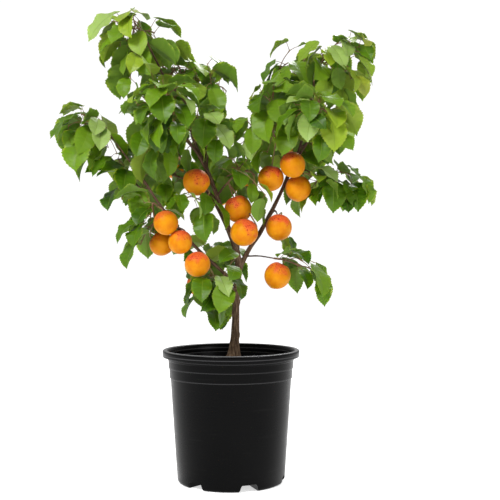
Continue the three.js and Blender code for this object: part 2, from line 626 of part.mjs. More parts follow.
// One try at a leaf: the petiole leaves the twig sideways and upwards, and the blade hangs from it,
// steeper low in the mass than at its top.
function tryLeaf(mass, twig, share, turn, draw, scale) {
  const root = onPath(twig.path, share);
  const tangent = twig.curve.getTangent(share);
  const [side, other] = across(tangent);
  const out = side.multiplyScalar(Math.cos(turn)).addScaledVector(other, Math.sin(turn));
  const heading = out.multiplyScalar(PETIOLE_HEADING.out);
  heading.addScaledVector(tangent, PETIOLE_HEADING.along);
  heading.addScaledVector(UP, PETIOLE_HEADING.up).normalize();
  const length = LEAF_LENGTH * scale * (1 + LENGTH_SPREAD * (draw() - 0.5));
  const petiole = PETIOLE_LENGTH * scale * (PETIOLE_SHORTEST + PETIOLE_SPREAD * draw());
  const base = root.clone().addScaledVector(heading, petiole);
  const outward = base.clone().sub(mass.middle).divide(mass.half);
  const height = THREE.MathUtils.clamp(outward.z, -1, 1);
  const flat = outward.clone().multiplyScalar(OUTWARD - OUTWARD_SPREAD * draw()).add(heading);
  flat.set(flat.x, flat.y * FACE_BIAS, 0).normalize();
  const hang = DROOP - DROOP_BY_HEIGHT * height + DROOP_SPREAD * (draw() - 0.5);
  const [ahead, face] = turnedBy(flat, UP, THREE.MathUtils.degToRad(-hang));
  const level = new THREE.Vector3().crossVectors(face, ahead);
  const [normal] = turnedBy(face, level, THREE.MathUtils.degToRad(ROLL_SPREAD * (draw() - 0.5)));
  const bladeSide = new THREE.Vector3().crossVectors(normal, ahead);
  return { root, base, ahead, normal, side: bladeSide, length, width: length * LEAF_WIDTH };
}

function onBlade(leaf, along, aside) {
  const point = leaf.base.clone().addScaledVector(leaf.ahead, along * leaf.length);
  return point.addScaledVector(leaf.side, aside * leaf.width);
}

// Whether the stretch between two points passes through a blade, a little larger than life.
function crosses(from, to, leaf) {
  const a = from.clone().sub(leaf.base);
  const b = to.clone().sub(leaf.base);
  const before = a.dot(leaf.normal);
  const after = b.dot(leaf.normal);
  if (before * after > 0) {
    return false;
  }
  const share = before === after ? 0.5 : before / (before - after);
  const at = a.lerp(b, share);
  const along = at.dot(leaf.ahead) / leaf.length;
  const aside = Math.abs(at.dot(leaf.side)) / leaf.width;
  return along > -0.04 && along < 1.04 && aside < 0.5 && aside < 1.3 * (1.04 - along);
}

// The edges of a blade, its midrib and its petiole, as stretches to test against other blades.
function stretches(leaf) {
  const far = BLADE_RIM.map(([along, aside]) => [along, -aside]).reverse();
  const rim = [[0, 0], ...BLADE_RIM, [1, 0], ...far];
  const points = rim.map(([along, aside]) => onBlade(leaf, along, aside));
  const lines = points.map((point, i) => [point, points[(i + 1) % points.length]]);
  lines.push([points[0], points[3]]);
  lines.push([points[1], points[5]]);
  lines.push([points[2], points[4]]);
  lines.push([leaf.root, leaf.base]);
  return lines;
}

function leafFits(mass, leaf, beads) {
  const run = leaf.base.clone().sub(leaf.root).normalize();
  if (run.dot(leaf.ahead) < SHARPEST_BEND || !inSpace(mass, leaf.root)) {
    return false;
  }
  for (const share of [0.35, 0.7]) {
    const point = leaf.root.clone().lerp(leaf.base, share);
    if (!clearOfWood(point, beads, TWIG_MARGIN, mass.on) || !clearOfFruit(point)) {
      return false;
    }
  }
  for (const sample of bladeSamples(leaf)) {
    const clear = clearOfWood(sample, beads, LIMB_MARGIN, null) && clearOfFruit(sample);
    if (!clear || !inSpace(mass, sample)) {
      return false;
    }
  }
  for (const twig of mass.twigs) {
    for (let i = 0; i < twig.path.length - 1; i += 1) {
      if (crosses(twig.path[i], twig.path[i + 1], leaf)) {
        return false;
      }
    }
  }
  for (const other of mass.leaves) {
    if (other.base.distanceTo(leaf.base) < other.length + leaf.length) {
      const own = stretches(leaf).some(([from, to]) => crosses(from, to, other));
      const theirs = stretches(other).some(([from, to]) => crosses(from, to, leaf));
      if (own || theirs) {
        return false;
      }
    }
  }
  return true;
}

// How far a leaf keeps from the leaves that are there already.
function roominess(leaf, placed) {
  const centre = onBlade(leaf, 0.5, 0);
  let room = LEAF_LENGTH;
  for (const other of placed) {
    room = Math.min(room, centre.distanceTo(onBlade(other, 0.5, 0)));
  }
  return room;
}

function growLeaves(mass, beads, placed) {
  const draw = seeded(mass.seed + 1000);
  mass.leaves = [];
  let turn = draw() * 2 * Math.PI;
  for (const twig of mass.twigs) {
    for (let k = 0; k < twig.leaves; k += 1) {
      const share = twig.first + ((LAST_LEAF - twig.first) * k) / (twig.leaves - 1);
      const scale = k === twig.leaves - 1 ? TIP_LEAF_SCALE : 1;
      turn += GOLDEN_TURN;
      let best = null;
      for (let attempt = 0; attempt < LEAF_TRIES; attempt += 1) {
        const size = scale * (1 - (LEAF_SHRINK * attempt) / LEAF_TRIES);
        const leaf = tryLeaf(mass, twig, share, turn + attempt * TURN_A_TRY, draw, size);
        if (leafFits(mass, leaf, beads)) {
          leaf.room = roominess(leaf, placed) * size;
          best = best && best.room >= leaf.room ? best : leaf;
        }
      }
      if (best && best.room > LEAF_SPACING) {
        mass.leaves.push(best);
        placed.push(best);
      }
    }
  }
}

// A leaf and its petiole as one closed piece: a three-sided petiole runs into a blade that is
// folded a little along its midrib and thins from its foot to its rim, with its tip curled down.
function leafSolid(leaf) {
  const place = (along, aside, lift) => {
    return onBlade(leaf, along, aside).addScaledVector(leaf.normal, lift * leaf.length);
  };
  const neck = PETIOLE_RADIUS / leaf.width;
  const rim = [place(0, neck, 0)];
  for (const [along, aside] of BLADE_RIM) {
    rim.push(place(along, aside, BLADE_FOLD));
  }
  rim.push(place(1, 0, -TIP_CURL));
  for (const [along, aside] of [...BLADE_RIM].reverse()) {
    rim.push(place(along, -aside, BLADE_FOLD));
  }
  rim.push(place(0, -neck, 0));
  const run = leaf.base.clone().sub(leaf.root).normalize();
  const bend = run.clone().add(leaf.ahead).normalize();
  const keelDown = new THREE.Vector3().crossVectors(leaf.side, bend).normalize();
  const rootSide = leaf.side.clone().addScaledVector(run, -leaf.side.dot(run)).normalize();
  const rootDown = new THREE.Vector3().crossVectors(rootSide, run);
  const points = [
    ...rim,
    leaf.base.clone().addScaledVector(keelDown, LEAF_KEEL * leaf.length),
    leaf.root.clone().addScaledVector(rootSide, PETIOLE_RADIUS),
    leaf.root.clone().addScaledVector(rootDown, PETIOLE_RADIUS),
    leaf.root.clone().addScaledVector(rootSide, -PETIOLE_RADIUS),
  ];
  const keel = rim.length;
  const last = keel - 1;
  const tip = last / 2;
  const [left, low, right] = [1, 2, 3].map((step) => keel + step);
  const faces = [[0, last, tip], [last, 0, left], [last, left, right]];
  for (let i = 0; i < last; i += 1) {
    faces.push([keel, i, i + 1]);
    if (i > 0 && i < last - 1) {
      faces.push([i < tip ? 0 : last, i + 1, i]);
    }
  }
  faces.push([0, keel, low], [0, low, left]);
  faces.push([keel, last, right], [keel, right, low]);
  faces.push([left, low, right]);
  return solidOf(polyhedron(points, faces));
}

function apricotSolid(fruit) {
  const ball = new THREE.SphereGeometry(fruit.radius, FRUIT_SIDES, FRUIT_SIDES / 2);
  const stalk = vector(fruit.stalk).normalize();
  ball.applyQuaternion(new THREE.Quaternion().setFromUnitVectors(new THREE.Vector3(0, 1, 0), stalk));
  ball.translate(fruit.middle.x, fruit.middle.y, fruit.middle.z);
  return solidOf(ball);
}

// The twigs and fruit of a mass, joined.
function twigsSolid(mass) {
  let solid = null;
  for (const twig of mass.twigs) {
    const sides = twig === mass.twigs[0] ? STEM_SIDES : TWIG_SIDES;
    const piece = solidOf(taperedTube(twig.curve, TWIG_STEPS, sides, () => twig.radius));
    solid = solid ? solid.add(piece) : piece;
  }
  for (const fruit of APRICOTS) {
    if (fruit.mass === mass.name) {
      solid = solid.add(apricotSolid(fruit));
    }
  }
  return solid;
}

// Whether a piece keeps its distance from every limb and every other mass.
function keepsClear(piece, owner) {
  const { min, max } = piece.boundingBox();
  for (const other of [...LIMBS, ...MASSES]) {
    if (other !== owner) {
      const box = other.solid.boundingBox();
      const far = [0, 1, 2].some((k) => min[k] > box.max[k] + 1 || box.min[k] > max[k] + 1);
      if (!far && piece.minGap(other.solid, 1) < CLEARANCE) {
        return false;
      }
    }
  }
  return true;
}

function massSolid(mass) {
  let solid = mass.solid;
  for (const leaf of mass.leaves) {
    const piece = leafSolid(leaf);
    if (keepsClear(piece, mass)) {
      solid = solid.add(piece);
    }
  }
  return wholeBody(solid);
}

const tree = new THREE.Group();

function addNode(name, solid, material) {
  const mesh = new THREE.Mesh(geometryOf(solid), material);
  mesh.name = name;
  tree.add(mesh);
}

addNode("pot", makePot(), MATERIALS.pot);
addNode("potting_mix", makeMix(), MATERIALS.mix);
for (const limb of LIMBS) {
  makeLimb(limb);
  addNode(limb.name, limb.solid, MATERIALS.bark);
}
for (const fruit of APRICOTS) {
  fruit.middle = vector(fruit.centre);
}
for (const mass of MASSES) {
  mass.middle = vector(mass.centre);
  mass.half = vector(mass.size).multiplyScalar(SPACE_GROWTH);
  mass.power = ((mass.size[0] + mass.size[1] + mass.size[2]) / 3) ** 2;
}
const beads = limbBeads();
const placedLeaves = [];
for (const mass of MASSES) {
  growTwigs(mass, beads);
  mass.solid = twigsSolid(mass);
}
for (const mass of MASSES) {
  growLeaves(mass, beads, placedLeaves);
  mass.solid = massSolid(mass);
  addNode(mass.name, mass.solid, MATERIALS.leaf);
}

export default tree;
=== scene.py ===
import json
import math

import bmesh
import bpy
import numpy as np
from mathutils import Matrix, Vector, kdtree, noise

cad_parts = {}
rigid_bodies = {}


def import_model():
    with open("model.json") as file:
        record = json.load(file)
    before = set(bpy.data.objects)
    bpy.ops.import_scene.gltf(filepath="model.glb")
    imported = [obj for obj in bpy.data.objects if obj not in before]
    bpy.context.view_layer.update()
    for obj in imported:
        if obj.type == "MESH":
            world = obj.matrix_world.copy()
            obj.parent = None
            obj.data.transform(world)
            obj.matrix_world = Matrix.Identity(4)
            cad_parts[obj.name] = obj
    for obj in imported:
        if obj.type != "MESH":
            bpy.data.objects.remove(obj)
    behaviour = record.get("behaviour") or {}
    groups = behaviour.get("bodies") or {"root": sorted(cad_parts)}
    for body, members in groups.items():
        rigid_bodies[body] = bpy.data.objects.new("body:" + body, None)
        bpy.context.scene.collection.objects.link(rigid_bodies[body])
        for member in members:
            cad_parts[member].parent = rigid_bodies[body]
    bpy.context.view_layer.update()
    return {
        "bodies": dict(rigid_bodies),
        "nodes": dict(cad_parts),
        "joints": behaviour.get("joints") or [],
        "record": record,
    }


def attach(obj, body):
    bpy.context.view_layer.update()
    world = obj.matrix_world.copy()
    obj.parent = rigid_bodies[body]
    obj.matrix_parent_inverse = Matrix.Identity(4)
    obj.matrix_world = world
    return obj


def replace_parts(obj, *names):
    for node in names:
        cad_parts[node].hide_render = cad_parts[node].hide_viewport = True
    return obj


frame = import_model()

# Apricot tree in a black nursery pot. Growth is worked out in millimetres by the same seeded rule
# as the solids, and meshes are made in metres. +Z is up and -Y faces the camera.
MM = 0.001
TURN = 2 * math.pi

POT_HEIGHT = 268
LIP_RADIUS = 140
LIP_FOOT = 254
COLLAR_RADIUS = 129
LEDGES = [(211, 123.4, 125.4), (231, 125.9, 127.5), (247, 127.9, 128.8)]
BASE_RADIUS = 109
BASE_CORNER = 7
POT_WALL = 2.2
POT_SEGMENTS = 144
DRAINS = 6
DRAIN_TURN = math.radians(20.2)
DRAIN_FOOT = 40
DRAIN_TOP = 31
DRAIN_HEIGHT = 15
DRAIN_INNER = 55

MIX_TOP = 240
MIX_EDGE_DROP = 4
MIX_FLAT_RADIUS = 40
MIX_RADIUS = 123.3

TRUNK_RADIUS = 7.5
FLARE = 13.5
FLARE_HEIGHT = 24
CLEARANCE = 0.3

STEM_RADII = (2, 1.3)
STEM_ELBOW = 0.4
SHOOT_RADII = (1.15, 0.75)
STALK_RADII = (1.5, 1.3)
STALK_FEET = [0.1, 0.3, 0.5, 0.7, 0.9]
STALK_INSIDE = 0.7
STALK_ABOVE = 5
TWIG_STEPS = 2
TWIG_MARGIN = 3
FIRST_SHOOT = 0.35
LAST_SHOOT = 0.95
SHOOT_REACH = 0.62
REACH_SPREAD = 0.3
SHOOT_LIFT = 0.35
SHOOT_RISE = 0.7
SHOOT_ARCH = 0.14
SHOOT_PULLS = [1, 0.75, 0.56, 0.42]
SHORTEST_SHOOT = 12
GOLDEN_TURN = math.pi * (3 - math.sqrt(5))

LEAF_LENGTH = 74
LENGTH_SPREAD = 0.28
LEAF_WIDTH = 0.8
BLADE_RIM = [(0.2, 0.42), (0.58, 0.43)]
TIP_LEAF_SCALE = 0.75
PETIOLE_LENGTH = 28
PETIOLE_SHORTEST = 0.6
PETIOLE_SPREAD = 0.9
PETIOLE_OUT = 0.8
PETIOLE_ALONG = 0.45
PETIOLE_UP = 0.35
SHARPEST_BEND = -0.4
DROOP = 42
DROOP_BY_HEIGHT = 42
DROOP_SPREAD = 50
ROLL_SPREAD = 90
OUTWARD = 0.9
OUTWARD_SPREAD = 1.5
FACE_BIAS = 1.5

FIRST_STEM_LEAF = 0.55
FIRST_SHOOT_LEAF = 0.3
LEAVES_A_STEM = 2
LEAVES_A_SHOOT = 5
LAST_LEAF = 0.98
LEAF_TRIES = 40
TURN_A_TRY = 0.7
LEAF_SHRINK = 0.2
LEAF_SPACING = 22
LIMB_MARGIN = 7
FRUIT_MARGIN = 3
FRUIT_VIEW = 0.9
SPACE_GROWTH = 1.2
SPACE_MARGIN = 1
BEAD_SPACING = 4
NEIGHBOURHOOD = 32
OWN_TIP = 0.8
PETIOLE_PLACES = (0.35, 0.7)
BLADE_MARGIN = 0.04
BLADE_TAPER = 1.3
LEAF_SEED = 1000
BLADE_PLACES = [(0, 0), (0.15, 0.3), (0.35, 0.5), (0.55, 0.48), (0.75, 0.32), (1, 0)]

# Finer twigs, which only the meshes have.
FINE_SEED = 2000
FINE_TWIGS = 3
FINE_RADII = (0.8, 0.55)
FINE_ARCH = 0.1
FINE_FIRST = 0.42
FINE_RUN = 0.5
FINE_OUT = 0.75
FINE_ALONG = 0.6
FINE_UP = 0.3
FINE_LENGTH = (24, 46)
FINE_TRIES = 6
FINE_LEAVES = [(0.4, 0.95), (0.72, 0.88), (0.98, 0.68)]
FINE_LEAF_TRIES = 16
FINE_SPACING = 19
STEM_STEPS = 40
BORNE_GAP = 4
SHORTEST_STEM = 0.2
WHOLE_STEM = 0.9

# Each limb's name, the limb that it leaves and where along it, its radii at both ends, and its points.
LIMBS = [
    ("trunk", None, 0, (TRUNK_RADIUS, 7),
     [(4, 0, 234), (7, 0, 279), (9, 0, 318), (10, 0, 359), (12, 0, 400), (17, 0, 438)]),
    ("left_leader", "trunk", 0.99, (5.9, 3),
     [(11, -6, 475), (-5, -16, 516), (-28, -24, 580), (-50, -22, 639), (-77, -10, 699), (-93, 14, 788)]),
    ("right_leader", "trunk", 0.97, (5.2, 2.3),
     [(38, 4, 475), (63, 6, 512), (105, 10, 595), (140, 10, 679), (166, -6, 792)]),
    ("middle_leader", "left_leader", 0.14, (3.8, 2),
     [(18, 16, 535), (37, 36, 596), (68, 60, 681), (84, 60, 782)]),
    ("lower_left_bough", "trunk", 0.82, (4, 2),
     [(-14, -22, 425), (-76, -40, 483), (-138, -38, 556), (-182, -22, 621), (-218, -20, 668)]),
    ("upper_left_limb", "left_leader", 0.97, (2.6, 1.8),
     [(-131, -10, 817), (-148, -22, 848), (-160, -32, 872)]),
    ("left_inner_limb", "left_leader", 0.7, (2.5, 1.8), [(-44, 6, 706), (-32, 30, 750)]),
    ("left_outer_limb", "left_leader", 0.72, (2.6, 1.8), [(-100, -32, 702), (-130, -42, 718)]),
    ("left_side_limb", "lower_left_bough", 0.72, (2, 1.6), [(-182, -14, 596), (-200, 2, 612)]),
    ("left_middle_limb", "left_leader", 0.47, (2.2, 1.6), [(-62, 8, 604), (-96, 34, 618)]),
    ("fruiting_limb_left", "lower_left_bough", 0.5, (2.2, 1.6), [(-128, -54, 548), (-142, -58, 556)]),
    ("left_front_spur", "left_leader", 0.66, (2.2, 1.6), [(-46, -36, 672), (-50, -44, 682)]),
    ("front_left_limb", "left_leader", 0.6, (2.6, 1.7), [(-72, -68, 672), (-98, -108, 706)]),
    ("left_low_spur", "left_leader", 0.42, (2.2, 1.6), [(-34, -38, 566), (-44, -46, 572)]),
    ("lowest_limb", "trunk", 0.74, (2.4, 1.6), [(-4, -24, 398), (-16, -36, 404)]),
    ("centre_spur", "left_leader", 0.5, (2.2, 1.6), [(-16, -36, 596), (-8, -38, 604)]),
    ("right_inner_limb", "right_leader", 0.66, (2.2, 1.7), [(106, -12, 672), (94, -34, 692)]),
    ("right_outer_limb", "right_leader", 0.8, (2.2, 1.6), [(160, 18, 696), (174, 26, 706)]),
    ("right_side_limb", "right_leader", 0.62, (2.2, 1.6), [(146, 24, 636), (170, 22, 628)]),
    ("fruiting_spur_right", "right_leader", 0.67, (1.9, 1.5), [(131, -2, 642), (135, -14, 636)]),
    ("low_fruiting_spur", "right_leader", 0.46, (1.9, 1.5), [(89, 12, 552), (95, 15, 545)]),
    ("lower_right_limb", "right_leader", 0.12, (1.8, 1.4), [(57, -8, 459), (90, -24, 454)]),
    ("rear_left_bough", "trunk", 0.93, (4, 2), [(0, 50, 490), (-40, 108, 575), (-108, 136, 668)]),
    ("rear_middle_limb", "rear_left_bough", 0.4, (2.6, 1.8), [(-8, 120, 590), (-24, 150, 636)]),
    ("rear_right_bough", "right_leader", 0.3, (3.2, 1.9),
     [(99, 62, 585), (124, 116, 646), (138, 142, 690)]),
    ("rear_low_limb", "trunk", 0.76, (2.2, 1.6), [(-8, 30, 410), (-32, 56, 424)]),
    ("front_right_limb", "right_leader", 0.74, (2.4, 1.7), [(156, -44, 690), (164, -94, 704)]),
]

# Each mass's name and limb, its middle, its reach each way, where in it the stem ends, shoots and seed.
MASSES = [
    ("foliage_top_left", "upper_left_limb", (-202, -34, 890), (90, 64, 96), (0.1, 0, 0.4), 5, 11),
    ("foliage_upper_left", "left_leader", (-120, 36, 826), (62, 60, 80), (0, 0, 0.3), 4, 12),
    ("foliage_left_inner", "left_inner_limb", (-30, 52, 806), (54, 58, 72), (0, 0, 0.2), 3, 13),
    ("foliage_far_left", "lower_left_bough", (-300, -20, 694), (62, 62, 80), (0.6, 0, 0.5), 4, 14),
    ("foliage_left_side", "left_side_limb", (-212, 22, 600), (62, 60, 70), (0.1, 0, 0.3), 4, 15),
    ("foliage_left_outer", "left_outer_limb", (-165, -50, 722), (68, 60, 80), (0, 0, 0.3), 4, 16),
    ("foliage_left_middle", "left_middle_limb", (-150, 52, 622), (56, 54, 68), (0.1, 0, 0.2), 3, 36),
    ("foliage_left_centre", "left_front_spur", (-48, -66, 700), (60, 50, 70), (0, 0, 0.3), 3, 17),
    ("foliage_front_left", "front_left_limb", (-125, -144, 734), (66, 60, 68), (0, 0, 0.3), 3, 18),
    ("foliage_lower_left", "fruiting_limb_left", (-164, -48, 490), (66, 60, 84), (0.2, 0, 0.4), 4, 19),
    ("foliage_left_low", "left_low_spur", (-74, -56, 556), (56, 50, 66), (0.2, 0, 0.1), 3, 20),
    ("foliage_lowest", "lowest_limb", (-34, -42, 380), (74, 62, 84), (0, 0, 0.25), 4, 21),
    ("foliage_centre", "centre_spur", (34, -30, 618), (66, 56, 72), (0, 0, 0.2), 3, 22),
    ("foliage_upper_middle", "middle_leader", (122, 42, 852), (66, 60, 80), (0, 0, 0.2), 4, 23),
    ("foliage_right_inner", "right_inner_limb", (84, -52, 738), (58, 54, 84), (0, 0, 0.2), 4, 24),
    ("foliage_top_right", "right_leader", (228, -26, 850), (78, 62, 92), (-0.1, 0, 0.3), 5, 25),
    ("foliage_right_outer", "right_outer_limb", (206, 34, 704), (64, 60, 84), (0, 0, 0.3), 5, 26),
    ("foliage_front_right", "front_right_limb", (172, -138, 724), (62, 60, 70), (0, 0, 0.3), 3, 27),
    ("foliage_right_side", "right_side_limb", (206, 22, 606), (84, 60, 66), (0.1, 0, 0.4), 5, 28),
    ("foliage_fruiting_right", "fruiting_spur_right", (144, -52, 590), (48, 46, 62), (0.1, 0.2, 0.5), 2, 29),
    ("foliage_low_fruit", "low_fruiting_spur", (112, 6, 515), (44, 46, 46), (0.2, 0, 0.1), 2, 30),
    ("foliage_lower_right", "lower_right_limb", (148, -25, 420), (62, 54, 62), (-0.1, 0, 0.3), 3, 31),
    ("foliage_rear_left", "rear_left_bough", (-160, 148, 735), (80, 66, 84), (0, 0, 0.2), 4, 32),
    ("foliage_rear_middle", "rear_middle_limb", (-28, 160, 694), (74, 68, 84), (0, 0, 0.2), 3, 33),
    ("foliage_rear_right", "rear_right_bough", (145, 156, 738), (78, 68, 86), (0, 0, 0.2), 3, 34),
    ("foliage_rear_low", "rear_low_limb", (-60, 78, 440), (64, 60, 66), (0, 0, 0.2), 3, 35),
]

# The mass that bears each apricot, its centre and radius, the way to its stalk, and whether leaves
# have to leave it open in the front view.
APRICOTS = [
    ("foliage_right_inner", (81, -20, 617), 26.3, (0.1, 0, 1), True),
    ("foliage_right_inner", (124, -44, 642), 25.4, (-0.5, 0.2, 1), True),
    ("foliage_fruiting_right", (137, -8, 597), 26.1, (0, -0.1, 1), True),
    ("foliage_left_low", (-68, -54, 606), 27.1, (0.7, 0.1, -0.5), True),
    ("foliage_centre", (15, -32, 554), 26.7, (-0.4, 0, 1), True),
    ("foliage_centre", (27, -60, 506), 27.2, (0.8, 0.5, 0.6), True),
    ("foliage_lower_left", (-127, -76, 525), 24.2, (-0.3, 0.3, 1), True),
    ("foliage_lower_left", (-140, -30, 484), 24.2, (-0.8, 0, 0.6), True),
    ("foliage_lower_left", (-99, -72, 487), 23.3, (0.2, 0.5, 1), True),
    ("foliage_lowest", (-65, -70, 443), 24.9, (0.6, 0.4, -0.2), True),
    ("foliage_low_fruit", (97, -24, 517), 26.7, (0.2, 0.3, 1), True),
    ("foliage_lower_right", (94, -34, 420), 26.2, (0.5, 0, 1), False),
    ("foliage_rear_right", (122, 78, 703), 25.3, (0.2, 0.8, 0.4), False),
    ("foliage_rear_left", (-128, 168, 655), 25.2, (0, 0, 1), False),
    ("foliage_rear_middle", (-30, 178, 596), 26.4, (0, -0.3, 1), False),
    ("foliage_rear_middle", (22, 156, 622), 24.6, (-0.5, 0, 1), False),
    ("foliage_rear_right", (150, 172, 646), 25.8, (0, -0.2, 1), False),
    ("foliage_rear_low", (-72, 102, 398), 25, (0, 0, 1), False),
]

# Places in the front view, in pixels from the photo's top left corner. The crown keeps within its
# outlines, is open at the discs of sky, and has leaves from these stalk ends to these tips.
CROWN_OUTLINE = [
    (84, 44), (88, 24), (99, 9), (112, 10), (121, 4), (132, 2), (142, 4), (146, 14), (153, 16),
    (158, 8), (172, 13), (183, 23), (185, 37), (170, 34), (159, 29), (154, 42), (170, 40), (180, 37),
    (190, 43), (195, 55), (204, 63), (208, 57), (223, 60), (233, 70), (243, 95), (229, 93), (230, 116),
    (240, 117), (247, 118), (244, 114), (248, 97), (257, 80), (270, 57), (279, 56), (283, 62),
    (292, 64), (294, 56), (284, 46), (265, 57), (264, 48), (276, 36), (288, 36), (297, 46), (304, 36),
    (322, 32), (333, 40), (344, 38), (350, 30), (358, 27), (370, 31), (380, 46), (384, 60), (376, 60),
    (377, 72), (374, 88), (370, 103), (360, 98),
    (361, 136), (353, 134), (358, 152), (343, 151), (338, 160), (345, 161), (358, 170), (372, 180),
    (381, 209), (371, 204), (362, 213), (353, 208), (351, 222), (340, 216), (324, 203), (312, 209),
    (300, 218), (289, 207), (262, 230), (252, 252), (244, 268), (250, 286), (249, 302), (238, 296),
    (232, 320), (218, 335), (203, 320), (200, 308), (181, 318), (178, 298), (187, 282), (184, 256),
    (152, 258), (141, 268), (133, 262), (123, 278), (118, 262), (126, 240), (109, 241), (117, 229),
    (127, 219), (121, 204), (117, 196), (105, 215), (103, 206), (108, 185), (101, 175), (89, 178),
    (76, 182), (70, 168), (57, 147), (48, 137), (52, 122), (60, 108), (71, 104), (101, 108), (113, 128),
    (114, 134), (121, 138), (129, 134), (132, 125), (132, 118), (116, 116), (117, 106), (128, 103),
    (127, 90), (135, 82), (147, 79), (138, 74), (130, 84), (124, 98), (113, 103), (107, 92), (108, 74),
    (99, 63), (97, 46), (102, 32), (110, 25),
]
LOW_OUTLINE = [
    (254, 256), (270, 256), (280, 250), (270, 248), (281, 242), (287, 238), (296, 250), (304, 251),
    (312, 261), (324, 266), (332, 280), (336, 298), (334, 314), (324, 308), (316, 296), (304, 286),
    (294, 293), (278, 291), (262, 280), (262, 264),
]
FRUIT_OUTLINE = [
    (264, 214), (280, 209), (296, 214), (299, 228), (296, 240), (297, 253), (289, 253), (271, 251),
    (270, 245), (281, 242), (266, 238),
]
SKY = [
    (149, 23, 6), (354, 41, 3), (361, 45, 3), (269, 74, 3), (280, 67, 4), (291, 60, 3),
    (120, 41, 3), (152, 41, 4), (135, 76, 5), (152, 76, 4), (143, 101, 4), (120, 122, 7), (143, 122, 3),
    (151, 117, 5), (104, 148, 4), (113, 152, 4), (127, 148, 3), (136, 145, 3), (165, 167, 4), (178, 158, 4),
    (188, 152, 3), (151, 188, 4), (150, 205, 4), (190, 208, 6), (187, 224, 8), (184, 238, 4), (198, 234, 4),
    (219, 238, 7), (214, 243, 5), (222, 155, 4), (212, 161, 3), (239, 161, 6), (246, 152, 4), (257, 155, 4),
    (245, 133, 3), (243, 145, 4), (256, 117, 4), (266, 114, 4), (274, 128, 4), (262, 105, 3), (274, 87, 3),
    (300, 88, 3), (294, 114, 4), (299, 139, 4), (321, 48, 4), (353, 63, 4), (338, 69, 4), (326, 106, 4),
    (342, 122, 3), (312, 171, 4), (330, 165, 4), (342, 178, 4), (224, 272, 3), (207, 284, 4), (198, 304, 4),
    (240, 258, 3), (256, 232, 3), (268, 225, 4), (297, 230, 6), (280, 206, 5), (217, 225, 4), (204, 250, 3),
]
FACING = [
    (300, 124, 294, 150), (280, 120, 279, 142), (214, 178, 221, 204), (228, 182, 216, 204),
    (168, 150, 166, 174), (182, 152, 182, 178), (304, 158, 310, 180), (252, 170, 248, 192),
    (198, 270, 206, 290),
    (112, 13, 85, 41), (131, 7, 128, 38), (155, 18, 182, 34), (118, 30, 102, 60), (125, 46, 119, 79),
    (127, 64, 115, 99), (146, 53, 148, 77), (142, 32, 138, 54), (172, 42, 190, 58), (160, 44, 176, 60),
    (207, 61, 234, 79), (207, 73, 240, 93), (157, 81, 130, 103), (168, 82, 167, 109), (200, 80, 201, 112),
    (208, 92, 227, 115), (150, 107, 119, 112), (160, 106, 135, 125), (163, 128, 132, 133),
    (218, 121, 229, 149), (77, 107, 51, 134), (76, 116, 59, 145), (89, 111, 86, 140), (84, 140, 78, 178),
    (98, 134, 90, 160), (112, 156, 90, 173), (122, 160, 118, 187), (118, 183, 106, 212), (140, 178, 122, 201),
    (141, 195, 140, 226), (134, 222, 111, 238), (147, 231, 141, 266), (133, 240, 123, 274),
    (172, 182, 170, 206), (178, 198, 187, 214), (212, 196, 204, 216), (208, 216, 203, 242),
    (204, 277, 183, 315), (218, 284, 217, 300), (219, 298, 217, 332), (233, 254, 211, 262),
    (233, 276, 248, 299), (226, 262, 218, 276), (288, 41, 266, 54), (281, 61, 260, 80), (352, 32, 382, 57),
    (313, 38, 299, 60), (334, 44, 344, 67), (353, 50, 374, 84), (352, 72, 368, 101), (342, 75, 347, 108),
    (317, 52, 320, 82), (352, 104, 359, 133), (341, 128, 356, 150), (323, 120, 334, 148), (266, 84, 247, 114),
    (290, 82, 276, 100), (278, 132, 259, 149), (346, 166, 362, 178), (360, 180, 379, 207),
    (350, 180, 361, 210), (338, 182, 338, 214), (322, 190, 313, 207), (306, 188, 300, 216),
    (257, 195, 264, 213), (292, 269, 294, 291), (303, 269, 312, 290), (314, 267, 325, 304),
    (321, 268, 333, 311), (298, 250, 311, 262), (284, 253, 299, 262), (290, 250, 273, 248),
    (287, 239, 294, 250), (222, 197, 227, 226), (248, 176, 224, 192), (226, 168, 246, 180),
    (222, 140, 218, 162), (245, 120, 238, 142), (300, 150, 320, 166), (175, 150, 172, 172),
    (160, 150, 150, 178), (320, 90, 336, 108), (306, 100, 312, 118), (205, 125, 210, 148),
    (265, 150, 252, 172), (310, 180, 314, 200),
    (246, 119, 231, 133), (240, 141, 245, 164), (263, 124, 251, 141), (262, 150, 250, 166),
    (283, 140, 262, 152), (284, 156, 268, 160), (262, 96, 252, 112), (206, 276, 190, 296),
    (128, 74, 120, 96), (100, 150, 88, 172), (268, 202, 255, 212), (220, 66, 230, 84),
    (196, 66, 208, 88), (356, 84, 364, 100),
]

CAMERA = np.array([38.7, -1996.0, 471.2])
LENS = 70.2
SENSOR = 36
PHOTO_SIZE = 500
PIXEL = -CAMERA[1] * SENSOR / (LENS * PHOTO_SIZE)
SKY_PLACES = np.array([(0.3, 0), (0.6, 0), (0.85, 0), (0.3, 0.35), (0.3, -0.35)])
LOOSE_GROWTH = np.array([1.35, 1.12, 1.35])

